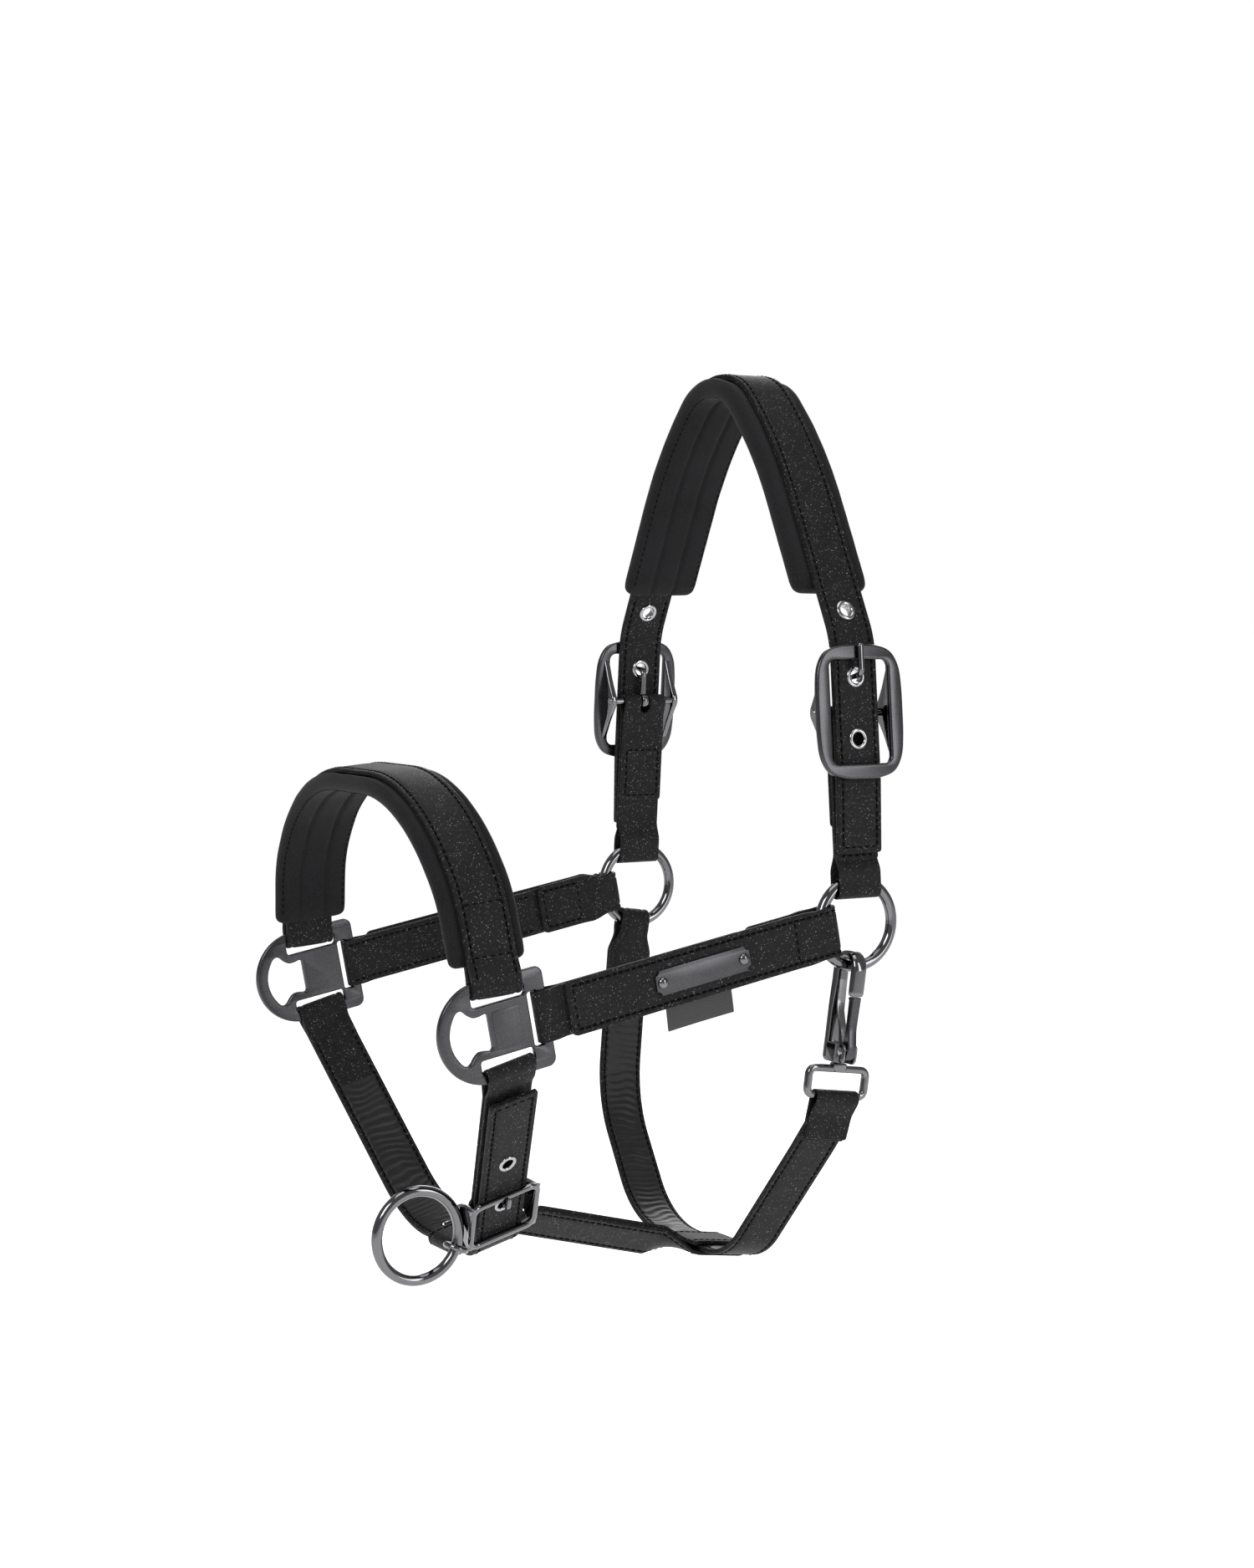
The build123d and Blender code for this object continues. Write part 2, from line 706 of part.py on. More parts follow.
def loop_ends(centre, across):
    """The two end centres of the section of a loop round a flat strap."""
    reach_out = half_loop - loop_inner + 0.5
    return [
        (centre.Y - across.Y * reach_out, centre.Z - across.Z * reach_out),
        (centre.Y + across.Y * reach_out, centre.Z + across.Z * reach_out),
    ]


chin_across = Vector(0, chin_c, chin_s)
throat_across = Vector(0, throat_c, -throat_s)
front_loop = loop_ends(chin_low, chin_across)
rear_loop = loop_ends(throat_low, throat_across)
jaw_plane = Plane(origin=(jaw_x, 0, 0), x_dir=(0, 1, 0), z_dir=(1, 0, 0))
with BuildPart() as jaw_strap:
    with BuildSketch(jaw_plane):
        hull(front_loop, loop_inner + layer)
        hull(rear_loop, loop_inner + layer)
        band([front_loop[1], rear_loop[0]], None, 2 * layer)
        hull(front_loop, loop_inner, mode=Mode.SUBTRACT)
        hull(rear_loop, loop_inner, mode=Mode.SUBTRACT)
    extrude(amount=strap_width / 2, both=True)
save(jaw_strap, "jaw_strap")

# ---------------------------------------------------------------- snap hook
# Section of the snap: x outwards, y up, from the bottom wire of the left ring.
snap_side = Plane(
    origin=throat_plane.from_local_coords((side_x, -ring_mean, 0)),
    x_dir=(1, 0, 0),
    z_dir=throat_plane.z_dir,
)
bowl_y = -1.5
bowl_inner = 5.0
bowl_outer = 9.6
nose_tip = -14.0
base_top = -37.0
base_low = -47.0
pivot_at = (5.6, -41.0)
gate_face = 5.2
swivel_radius = 2.4
with BuildPart() as snap_body:
    with BuildSketch(snap_side):
        with Locations((0, bowl_y)):
            Circle(bowl_outer)
            Circle(bowl_inner, mode=Mode.SUBTRACT)
            Rectangle(
                2 * bowl_outer + 2,
                bowl_outer + 2,
                align=(Align.CENTER, Align.MAX),
                mode=Mode.SUBTRACT,
            )
        with Locations(((bowl_inner + bowl_outer) / 2, (bowl_y + nose_tip) / 2)):
            Rectangle(bowl_outer - bowl_inner, bowl_y - nose_tip)
        with Locations((-(bowl_inner + bowl_outer) / 2, (bowl_y + base_low) / 2)):
            Rectangle(bowl_outer - bowl_inner, bowl_y - base_low)
        with Locations((-0.3, (base_top + base_low) / 2)):
            Rectangle(18.6, base_top - base_low)
        fillet(vertices().filter_by_position(Axis.Y, base_low - 0.1, base_low + 0.1), 3)
    extrude(amount=snap_thick / 2, both=True)
    fillet(snap_body.edges().filter_by(snap_side), 1.1)
    with BuildSketch(snap_side):
        with Locations((pivot_at[0] + 2.2, (base_top + base_low) / 2)):
            Rectangle(12, 20)
    extrude(amount=2.7, both=True, mode=Mode.SUBTRACT)
    with BuildSketch(snap_side):
        with Locations(pivot_at):
            Circle(1.25)
    extrude(amount=snap_thick, both=True, mode=Mode.SUBTRACT)
    swivel_plane = Plane(
        origin=snap_side.from_local_coords((0, base_low + 1, 0)),
        x_dir=(1, 0, 0),
        z_dir=snap_side.y_dir * -1,
    )
    with BuildSketch(swivel_plane):
        Circle(swivel_radius)
    extrude(amount=4.6)
save(snap_body, "snap_body")

with BuildPart() as snap_gate:
    with BuildSketch(snap_side):
        with Locations(pivot_at):
            Circle(3.3)
        with BuildLine():
            Polyline(
                (gate_face, pivot_at[1]),
                (gate_face, nose_tip - 0.4),
                (bowl_outer - 0.4, nose_tip - 0.4),
                (pivot_at[0] + 3.2, pivot_at[1]),
                close=True,
            )
        make_face()
        with Locations(pivot_at):
            Circle(1.25, mode=Mode.SUBTRACT)
    extrude(amount=2.45, both=True)
save(snap_gate, "snap_gate")

with BuildPart() as snap_gate_pin:
    with BuildSketch(snap_side):
        with Locations(pivot_at):
            Circle(1.2)
    extrude(amount=snap_thick / 2 + 0.4, both=True)
save(snap_gate_pin, "snap_gate_pin")

with BuildPart() as snap_gate_spring:
    with BuildSketch(snap_side):
        band(
            [(-4.4, -12), (-4.4, -24), (0.4, -31), (1.2, base_top + 0.05)],
            [9, 4],
            0.7,
        )
    extrude(amount=2.2, both=True)
save(snap_gate_spring, "snap_gate_spring")

# Strap eye: a rectangular loop with a boss in which the snap's stem swivels.
eye_face = Plane(
    origin=snap_side.origin, x_dir=snap_side.z_dir * -1, z_dir=(1, 0, 0)
)
eye_middle = -(eye_top_down - ring_mean) - eye_height / 2 + eye_wire
with BuildPart() as snap_eye:
    with BuildSketch(eye_face):
        with Locations((0, eye_middle)):
            RectangleRounded(eye_width, eye_height, 4)
            RectangleRounded(
                eye_width - 4 * eye_wire, eye_height - 4 * eye_wire, 1.5, mode=Mode.SUBTRACT
            )
    extrude(amount=eye_wire, both=True)
    fillet(snap_eye.edges().filter_by(eye_face), 1.1)
    boss_plane = Plane(
        origin=snap_side.from_local_coords((0, base_low - 0.15, 0)),
        x_dir=(1, 0, 0),
        z_dir=snap_side.y_dir * -1,
    )
    with BuildSketch(boss_plane):
        Circle(4.2)
    extrude(amount=eye_top_down - ring_mean + base_low + eye_wire - 0.2)
    with BuildSketch(boss_plane):
        Circle(swivel_radius + 0.06)
    extrude(amount=3.9, mode=Mode.SUBTRACT)
save(snap_eye, "snap_eye")
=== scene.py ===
import bisect
import math
import bmesh
import bpy
from mathutils import Matrix, Vector, noise


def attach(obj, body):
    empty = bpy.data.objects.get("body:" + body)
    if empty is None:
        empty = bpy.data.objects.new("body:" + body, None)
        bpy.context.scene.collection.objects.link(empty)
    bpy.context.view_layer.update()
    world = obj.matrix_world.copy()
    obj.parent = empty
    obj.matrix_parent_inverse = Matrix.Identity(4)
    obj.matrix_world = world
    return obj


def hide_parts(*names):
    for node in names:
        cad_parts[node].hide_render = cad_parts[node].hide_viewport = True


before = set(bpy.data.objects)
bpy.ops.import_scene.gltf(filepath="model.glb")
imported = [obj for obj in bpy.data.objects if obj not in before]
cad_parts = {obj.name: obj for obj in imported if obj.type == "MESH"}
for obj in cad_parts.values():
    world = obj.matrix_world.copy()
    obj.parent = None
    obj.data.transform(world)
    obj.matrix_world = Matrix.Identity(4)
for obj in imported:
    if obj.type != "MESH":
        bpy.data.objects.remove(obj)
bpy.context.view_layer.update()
MM = 0.001

# ------------------------------------------------------------------ sizes, mm
STRAP_WIDTH = 25.0
STRAP = 3.0
SIDE_X = 105.5
RING_Z = -259.0
RING_MEAN = 21.0
RING_WIRE = 2.75
CROWN_BAR_UP = 81.0
BAR = 2.0
FRAME_INNER = 7.6
FITTING_REACH = 192.0
CHIN_BAR_DOWN = 92.0
CHIN_INNER = 7.55
THROAT_DEPTH = 176.0
CHIN_DEPTH = 100.0
NOSE = 2.3  # strap thicknesses
CHIN = 2.4
THROAT = 2.4
SEAM = 2.7  # from a strap's edge to its stitches
ROW = 9.8  # from a strap's middle to its stitches
PITCH = 3.5  # from stitch to stitch
OVERLAY_WIDTH = 25.8
CROWN_PAD_WIDTH, CROWN_PAD = 42, 9.0
NOSE_PAD_WIDTH, NOSE_PAD = 38, 7.5
PAD_GROOVES = (-6.8, 6.8)
PAD_STRAP_HALF = 12.6
LINING_WIDTH = 19.5
FRAME_THICK = 3.2
LEAD_EYE_MEAN, LEAD_EYE_WIRE = 4.7, 1.5
LEAD_RING_MEAN, LEAD_RING_WIRE = 21, 2.6


def lean(angle):
    """Sine and cosine of an angle in degrees."""
    return math.sin(math.radians(angle)), math.cos(math.radians(angle))


class Plane:
    """A plane in the row frame, in mm: an origin, two axes in the plane and the normal."""

    def __init__(self, origin, x, z):
        self.origin = Vector(origin)
        self.x = Vector(x).normalized()
        self.z = Vector(z).normalized()
        self.y = self.z.cross(self.x)

    def at(self, a, b, c=0.0):
        return (self.origin + self.x * a + self.y * b + self.z * c) * MM

    def raised(self, c):
        return Plane(self.origin + self.z * c, self.x, self.z)

    def matrix(self):
        m = Matrix((self.x, self.y, self.z)).transposed().to_4x4()
        m.translation = self.origin * MM
        return m


tilt_s, tilt_c = lean(5)
pitch_s, pitch_c = lean(10.5)
nose_s, nose_c = lean(5)
chin_s, chin_c = lean(15)
throat_s, throat_c = lean(8)
lead_s, lead_c = lean(22)

crown_side = Plane((SIDE_X, 0, RING_Z + RING_MEAN), (tilt_c, 0, tilt_s), (0, -1, 0))
crown_face = Plane(crown_side.origin, (0, 1, 0), (tilt_c, 0, tilt_s))
crown_arch = Plane((0, 0, 0), (1, 0, 0), (0, -1, 0))
cheek_top = Plane((SIDE_X, 0, RING_Z), (0, -pitch_c, -pitch_s), (0, -pitch_s, pitch_c))
cheek_face = Plane((SIDE_X, 0, RING_Z), (0, -pitch_c, -pitch_s), (-1, 0, 0))
fitting_face = Plane(cheek_face.origin + cheek_face.x * FITTING_REACH, cheek_face.x, cheek_face.z)
top_bar = fitting_face.origin + fitting_face.x * 4.0 + fitting_face.y * 20.75
low_bar = fitting_face.origin + fitting_face.x * 4.0 - fitting_face.y * 20.75
nose_plane = Plane((0, top_bar.y, top_bar.z), (1, 0, 0), (0, -nose_c, -nose_s))
chin_plane = Plane((0, low_bar.y, low_bar.z), (1, 0, 0), (0, -chin_c, -chin_s))
throat_plane = Plane((0, 0, RING_Z), (1, 0, 0), (0, -throat_c, throat_s))
snap_side = Plane(
    throat_plane.origin + throat_plane.x * SIDE_X - throat_plane.y * RING_MEAN,
    (1, 0, 0),
    throat_plane.z,
)
slant = math.atan2(SIDE_X - 36.0, CHIN_DEPTH - 3)
slant_s, slant_c = math.sin(slant), math.cos(slant)
chin_side = Plane(
    chin_plane.origin + chin_plane.x * SIDE_X,
    (slant_c, slant_s * chin_s, -slant_s * chin_c),
    chin_plane.z,
)
chin_face = Plane(chin_side.origin, chin_side.z * -1, chin_side.x)


# ------------------------------------------------------------------ materials
def node_material(name):
    """An empty node material with its output, shader and object coordinates."""
    material = bpy.data.materials.new(name)
    material.use_nodes = True
    tree = material.node_tree
    tree.nodes.clear()
    out = tree.nodes.new("ShaderNodeOutputMaterial")
    shader = tree.nodes.new("ShaderNodeBsdfPrincipled")
    coords = tree.nodes.new("ShaderNodeTexCoord")
    tree.links.new(shader.outputs[0], out.inputs[0])
    return material, tree, shader, coords.outputs["Object"]


def texture(tree, kind, where, **inputs):
    """A texture node with the given input values."""
    node = tree.nodes.new(kind)
    tree.links.new(where, node.inputs["Vector"])
    for key, value in inputs.items():
        node.inputs[key.replace("_", " ")].default_value = value
    return node


def ramp(tree, source, stops):
    """A colour ramp of grey or colour stops."""
    node = tree.nodes.new("ShaderNodeValToRGB")
    tree.links.new(source, node.inputs[0])
    elements = node.color_ramp.elements
    while len(elements) < len(stops):
        elements.new(0.5)
    for element, (at, value) in zip(elements, stops):
        element.position = at
        rgb = value if hasattr(value, "__len__") else (value, value, value)
        element.color = (*rgb, 1)
    return node.outputs[0]


def math_node(tree, operation, a, b):
    """A math node on two sockets or numbers."""
    node = tree.nodes.new("ShaderNodeMath")
    node.operation = operation
    for socket, value in zip(node.inputs, (a, b)):
        if hasattr(value, "is_linked"):
            tree.links.new(value, socket)
        else:
            socket.default_value = value
    return node.outputs[0]


def mix(tree, factor, a, b):
    """A colour mix of two sockets or colours."""
    node = tree.nodes.new("ShaderNodeMix")
    node.data_type = "RGBA"
    tree.links.new(factor, node.inputs[0])
    for socket, value in ((node.inputs[6], a), (node.inputs[7], b)):
        if hasattr(value, "is_linked"):
            tree.links.new(value, socket)
        else:
            socket.default_value = (*value, 1)
    return node.outputs[2]


def bump(tree, shader, height, strength, distance):
    """Bump from a height socket."""
    node = tree.nodes.new("ShaderNodeBump")
    node.inputs["Strength"].default_value = strength
    node.inputs["Distance"].default_value = distance
    tree.links.new(height, node.inputs["Height"])
    tree.links.new(node.outputs[0], shader.inputs["Normal"])


def glitter_fabric(name, base, flecks, rough):
    """Black coated fabric with fine pale glitter flecks."""
    material, tree, shader, where = node_material(name)
    weave = texture(tree, "ShaderNodeTexNoise", where, Scale=2600.0, Detail=2.0)
    cloud = texture(tree, "ShaderNodeTexNoise", where, Scale=120.0, Detail=3.0)
    turned = tree.nodes.new("ShaderNodeMapping")
    turned.inputs["Rotation"].default_value = (0.7, 0.4, 1.1)
    tree.links.new(where, turned.inputs["Vector"])
    cells = texture(tree, "ShaderNodeTexVoronoi", turned.outputs[0], Scale=1900.0)
    split = tree.nodes.new("ShaderNodeSeparateColor")
    tree.links.new(cells.outputs["Color"], split.inputs[0])
    chosen = ramp(tree, split.outputs[0], [(0.0, 0.0), (flecks, 0.0), (flecks + 0.02, 1.0)])
    core = ramp(tree, cells.outputs["Distance"], [(0.0, 1.0), (0.34, 1.0), (0.48, 0.0)])
    bright = ramp(tree, split.outputs[1], [(0.0, 0.12), (0.6, 0.3), (1.0, 1.0)])
    mask = math_node(tree, "MULTIPLY", math_node(tree, "MULTIPLY", chosen, core), bright)
    dark = ramp(
        tree,
        weave.outputs[0],
        [(0.30, [c * 0.45 for c in base]), (0.55, base), (0.75, [c * 2.1 for c in base])],
    )
    shade = ramp(tree, cloud.outputs[0], [(0.35, 0.0), (0.7, 0.35)])
    dark = mix(tree, shade, dark, [c * 1.9 for c in base])
    tree.links.new(mix(tree, mask, dark, (0.24, 0.24, 0.25)), shader.inputs["Base Color"])
    shader.inputs["Roughness"].default_value = rough
    shader.inputs["Specular IOR Level"].default_value = 0.09
    shader.inputs["Sheen Weight"].default_value = 0.02
    shader.inputs["Sheen Roughness"].default_value = 0.4
    bump(tree, shader, weave.outputs[0], 0.35, 0.0002)
    return material


def soft_fabric(name, base, rough, scale, strength, sheen, shine=0.14):
    """Matt knitted padding or smooth lining."""
    material, tree, shader, where = node_material(name)
    knit = texture(tree, "ShaderNodeTexNoise", where, Scale=scale, Detail=3.0)
    cloud = texture(tree, "ShaderNodeTexNoise", where, Scale=45.0, Detail=2.0)
    tone = ramp(
        tree,
        knit.outputs[0],
        [(0.3, [c * 0.55 for c in base]), (0.55, base), (0.78, [c * 1.8 for c in base])],
    )
    shade = ramp(tree, cloud.outputs[0], [(0.35, 0.0), (0.75, 0.4)])
    tree.links.new(mix(tree, shade, tone, [c * 1.5 for c in base]), shader.inputs["Base Color"])
    shader.inputs["Roughness"].default_value = rough
    shader.inputs["Specular IOR Level"].default_value = shine
    shader.inputs["Sheen Weight"].default_value = sheen
    shader.inputs["Sheen Roughness"].default_value = 0.5
    bump(tree, shader, knit.outputs[0], strength, 0.0003)
    return material


def metal(name, base, rough, spread, scale=900.0):
    """Plated metal with faint variation of its polish."""
    material, tree, shader, where = node_material(name)
    grain = texture(tree, "ShaderNodeTexNoise", where, Scale=scale, Detail=3.0)
    smear = texture(tree, "ShaderNodeTexNoise", where, Scale=70.0, Detail=2.0)
    tone = ramp(tree, smear.outputs[0], [(0.3, [c * 0.85 for c in base]), (0.7, base)])
    tree.links.new(tone, shader.inputs["Base Color"])
    polish = ramp(tree, grain.outputs[0], [(0.3, rough - spread), (0.7, rough + spread)])
    tree.links.new(polish, shader.inputs["Roughness"])
    shader.inputs["Metallic"].default_value = 1.0
    bump(tree, shader, grain.outputs[0], 0.01, 0.0001)
    return material


def woven(name):
    """Fine ribbed weave of a sewn label."""
    material, tree, shader, where = node_material(name)
    ribs = texture(tree, "ShaderNodeTexWave", where, Scale=420.0, Distortion=0.6)
    ribs.bands_direction = "Z"
    tone = ramp(tree, ribs.outputs[1], [(0.2, (0.008, 0.008, 0.009)), (0.8, (0.03, 0.03, 0.033))])
    tree.links.new(tone, shader.inputs["Base Color"])
    shader.inputs["Roughness"].default_value = 0.6
    bump(tree, shader, ribs.outputs[1], 0.3, 0.0002)
    return material


GLITTER = glitter_fabric("glitter_fabric", (0.0075, 0.0075, 0.0082), 0.87, 0.55)
PADDING = soft_fabric("padding", (0.009, 0.009, 0.010), 0.85, 1500.0, 0.35, 0.05, 0.08)
LINING = soft_fabric("gathered_lining", (0.007, 0.007, 0.008), 0.42, 1900.0, 0.2, 0.03, 0.22)
THREAD = soft_fabric("thread", (0.0008, 0.0008, 0.0009), 0.7, 3500.0, 0.3, 0.0, 0.05)
LABEL = woven("label_weave")
GUNMETAL = metal("gunmetal", (0.062, 0.062, 0.066), 0.27, 0.015)
# Gunmetal for bevels, eyelets and pins: polished (lower roughness), with a base colour much lighter than the
# faces' as a painted highlight.
POLISHED_WITH_PAINTED_HIGHLIGHT = metal("gunmetal_edge_painted_highlight", (0.34, 0.34, 0.35), 0.12, 0.02)
CHROME = metal("black_chrome", (0.15, 0.15, 0.157), 0.08, 0.02, 300.0)
STEEL = metal("spring_steel", (0.2, 0.2, 0.205), 0.16, 0.03)


# ------------------------------------------------------------------ meshes
def to_scene(obj):
    """Links an object into the scene."""
    bpy.context.scene.collection.objects.link(obj)


def evaluated(obj):
    """A mesh of the object as its modifiers or curve settings make it."""
    bpy.context.view_layer.update()
    graph = bpy.context.evaluated_depsgraph_get()
    return bpy.data.meshes.new_from_object(obj.evaluated_get(graph))


def new_object(name, mesh, materials, body, nodes=()):
    """Links a mesh as a piece that rides on a body and stands for CAD nodes."""
    obj = bpy.data.objects.new(name, mesh)
    to_scene(obj)
    for material in materials:
        if not any(m == material for m in mesh.materials):
            mesh.materials.append(material)
    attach(obj, body)
    if nodes:
        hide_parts(*nodes)
    return obj


def mesh_from(name, verts, faces, sharp=40):
    """A mesh with consistent outward normals, smooth except over sharp edges."""
    mesh = bpy.data.meshes.new(name)
    mesh.from_pydata([tuple(v) for v in verts], [], faces)
    bm = bmesh.new()
    bm.from_mesh(mesh)
    bmesh.ops.remove_doubles(bm, verts=bm.verts, dist=1e-6)
    bmesh.ops.recalc_face_normals(bm, faces=bm.faces)
    bm.to_mesh(mesh)
    bm.free()
    mesh.shade_smooth()
    mesh.set_sharp_from_angle(angle=math.radians(sharp))
    return mesh


def mirrored(obj, name, body, nodes=()):
    """The piece's copy on the other side of the middle plane."""
    mesh = obj.data.copy()
    mesh.name = name
    mesh.transform(Matrix.Scale(-1, 4, (1, 0, 0)))
    mesh.flip_normals()
    return new_object(name, mesh, (), body, nodes)


def fillet(points, radii, closed=False):
    """Points of a polyline with each corner rounded to its own radius."""
    count = len(points)
    out = []
    for i, point in enumerate(points):
        corner = Vector(point)
        if not closed and i in (0, count - 1):
            out.append(corner)
            continue
        back = (Vector(points[i - 1]) - corner).normalized()
        on = (Vector(points[(i + 1) % count]) - corner).normalized()
        radius = radii[i] if closed else radii[i - 1]
        turn = math.pi - back.angle(on)
        if radius <= 0 or turn < 1e-3:
            out.append(corner)
            continue
        reach = radius * math.tan(turn / 2)
        centre = corner + (back + on).normalized() * (radius / math.cos(turn / 2))
        first = corner + back * reach - centre
        last = corner + on * reach - centre
        begin = math.atan2(first.y, first.x)
        sweep_angle = math.atan2(first.x * last.y - first.y * last.x, first.dot(last))
        steps = max(3, int(abs(sweep_angle) * radius / 0.6), int(abs(sweep_angle) / 0.15))
        for k in range(steps + 1):
            angle = begin + sweep_angle * k / steps
            out.append(centre + Vector((math.cos(angle), math.sin(angle))) * radius)
    return out


class Path:
    """A line in a plane, measured along its length. out is 1 if outwards is to its right."""

    def __init__(self, plane, points, radii, out=1, closed=False):
        self.plane = plane
        self.out = out
        self.closed = closed
        self.points = fillet(points, radii, closed)
        if closed:
            self.points.append(self.points[0])
        self.marks = [0.0]
        for a, b in zip(self.points, self.points[1:]):
            self.marks.append(self.marks[-1] + (b - a).length)
        self.length = self.marks[-1]

    def point(self, s):
        if self.closed:
            s %= self.length
        i = min(max(bisect.bisect_right(self.marks, s) - 1, 0), len(self.points) - 2)
        span = self.marks[i + 1] - self.marks[i]
        part = (s - self.marks[i]) / span if span > 1e-9 else 0.0
        return self.points[i].lerp(self.points[i + 1], part)

    def heading(self, s):
        """Unit vectors in the plane along the line and outwards."""
        along = (self.point(s + 0.25) - self.point(s - 0.25)).normalized()
        return along, Vector((along.y, -along.x)) * self.out

    def place(self, s, u, v):
        """Row-frame place at s along the line, u across the strap and v outwards."""
        spot = self.point(s) + self.heading(s)[1] * v
        return self.plane.at(spot.x, spot.y, u)

    def axes(self, s):
        """Row-frame direction along the line, across the strap, and outwards."""
        along, normal = self.heading(s)
        plane = self.plane
        return (
            plane.x * along.x + plane.y * along.y,
            plane.z,
            plane.x * normal.x + plane.y * normal.y,
        )


def stations(path, low, high, step):
    """Places along a path, closer together at its two ends."""
    if path.closed:
        count = max(8, int(path.length / step))
        return [path.length * i / count for i in range(count)]
    near = [0.0, 0.12, 0.3, 0.55, 0.9, 1.4, 2.0, 2.8]
    first = [low + d for d in near]
    last = [high - d for d in reversed(near)]
    span = last[0] - first[-1]
    count = max(1, int(span / step))
    return first + [first[-1] + span * i / count for i in range(1, count)] + last


def tube_faces(rows, size, closed=True):
    """Quads between rows of a tube with this many points to a row."""
    return [
        (
            i * size + j,
            i * size + (j + 1) % size,
            (i + 1) % rows * size + (j + 1) % size,
            (i + 1) % rows * size + j,
        )
        for i in range(rows if closed else rows - 1)
        for j in range(size)
    ]


def slab_faces(across, down):
    """Faces of a thin slab: a grid of points on one side, then the same on the other."""
    faces = []
    row = across + 1
    size = row * (down + 1)
    for j in range(down):
        for i in range(across):
            a = j * row + i
            faces.append((a, a + 1, a + row + 1, a + row))
            b = size + a
            faces.append((b, b + row, b + row + 1, b + 1))
    for i in range(across):
        faces.append((i, size + i, size + i + 1, i + 1))
        a = down * row + i
        faces.append((a, a + 1, size + a + 1, size + a))
    for j in range(down):
        for i in (0, across):
            a = j * row + i
            faces.append((a, a + row, size + a + row, size + a))
    return faces


def sweep(name, path, section, low, high, step, sharp=40):
    """Skin over the sections along a path. section(s) gives (u, v) pairs in order."""
    verts = []
    marks = stations(path, low, high, step)
    for s in marks:
        ring = section(s)
        size = len(ring)
        verts.extend(path.place(s, u, v) for u, v in ring)
    rows = len(marks)
    faces = tube_faces(rows, size, path.closed)
    if not path.closed:
        faces.append(tuple(range(size)))
        faces.append(tuple((rows - 1) * size + j for j in range(size)))
    return mesh_from(name, verts, faces, sharp=sharp)


def strap_ring(width, thick, seam=SEAM, depth=0.4, notch=0.28, bulge=0.0, edge=0.45):
    """Section of a stitched strap: rounded edges, pressed seam lines, a laminated side."""
    half = width / 2
    top = thick / 2
    line = half - seam

    def face(sign):
        row = []
        inner = [line + 1.2, line + 0.5, line, line - 0.5, line - 1.2]
        inner += [line * k for k in (0.62, 0.3)]
        spots = [half - edge] + inner + [0.0] + [-x for x in reversed(inner)] + [edge - half]
        for u in spots:
            dip = depth * math.exp(-(((abs(u) - line) / 0.55) ** 2)) if seam > 0 else 0.0
            rise = bulge * max(0.0, 1 - (u / half) ** 2)
            row.append((u, sign * (top - dip + rise)))
        return row

    def side(sign):
        return [
            (sign * (half - edge * 0.3), top - edge * 0.3),
            (sign * half, top - edge),
            (sign * half, notch),
            (sign * (half - notch), 0.0),
            (sign * half, -notch),
            (sign * half, edge - top),
            (sign * (half - edge * 0.3), edge * 0.3 - top),
        ]

    upper = list(reversed(face(1)))
    lower = face(-1)
    return upper + side(1) + lower + list(reversed(side(-1)))


def strap_section(low, high, width, thick, corner=2.5, square=False, **shape):
    """Section function of a strap whose two ends have rounded corners."""
    sized = width if callable(width) else (lambda s: width)

    def section(s):
        ring = strap_ring(sized(s), thick, **shape)
        if square:
            return ring
        away = min(s - low, high - s)
        narrow = 1.0
        if away < corner:
            cut = corner - math.sqrt(max(0.0, corner**2 - (corner - away) ** 2))
            narrow = (sized(s) - 2 * cut) / sized(s)
        thin = 1.0
        if away < 0.7:
            thin = 0.55 + 0.45 * math.sqrt(max(0.0, 1 - ((0.7 - away) / 0.7) ** 2))
        return [(u * narrow, v * thin) for u, v in ring]

    return section


def strap_piece(name, path, low, high, width, thick, material, body, nodes=(), **shape):
    """A strap along part of a path."""
    step = shape.pop("step", 1.6)
    section = strap_section(low, high, width, thick, square=path.closed, **shape)
    mesh = sweep(name, path, section, low, high, step)
    return new_object(name, mesh, [material], body, nodes)


# One stitch: a slim bead along +X, of unit length and radius, as (along, radius).
STITCH_ROWS = [(-0.5, 0.25), (-0.42, 0.8), (-0.2, 1.0), (0.2, 1.0), (0.42, 0.8), (0.5, 0.25)]


def stitch_mesh(name, spots, body, length=2.4, radius=0.5):
    """All stitches of one piece as one mesh. spots are (centre, along, across, out)."""
    verts = []
    faces = []
    rows = STITCH_ROWS
    around = 6
    for centre, along, across, out in spots:
        base = len(verts)
        for at, size in rows:
            for k in range(around):
                angle = 2 * math.pi * k / around
                verts.append(
                    centre
                    + along * (at * length * MM)
                    + across * (math.cos(angle) * radius * size * MM)
                    + out * (math.sin(angle) * radius * size * 0.8 * MM)
                )
        for i in range(len(rows) - 1):
            for k in range(around):
                a = base + i * around + k
                b = base + i * around + (k + 1) % around
                faces.append((a, b, b + around, a + around))
        faces.append(tuple(base + k for k in range(around)))
        faces.append(tuple(base + (len(rows) - 1) * around + k for k in range(around)))
    mesh = bpy.data.meshes.new(name)
    mesh.from_pydata([tuple(v) for v in verts], [], faces)
    mesh.shade_smooth()
    return new_object(name, mesh, [THREAD], body)


def long_row(path, low, high, u, v):
    """Stitch places along a strap."""
    count = max(1, int((high - low) / PITCH))
    spots = []
    for i in range(count):
        s = low + (high - low) * (i + 0.5) / count
        along, across, out = path.axes(s)
        spots.append((path.place(s, u, v), along, across, out))
    return spots


def cross_row(path, s, u_from, u_to, v):
    """Stitch places across a strap."""
    count = max(1, int((u_to - u_from) / PITCH))
    along, across, out = path.axes(s)
    spots = []
    for i in range(count):
        u = u_from + (u_to - u_from) * (i + 0.5) / count
        spots.append((path.place(s, u, v), across, along, out))
    return spots


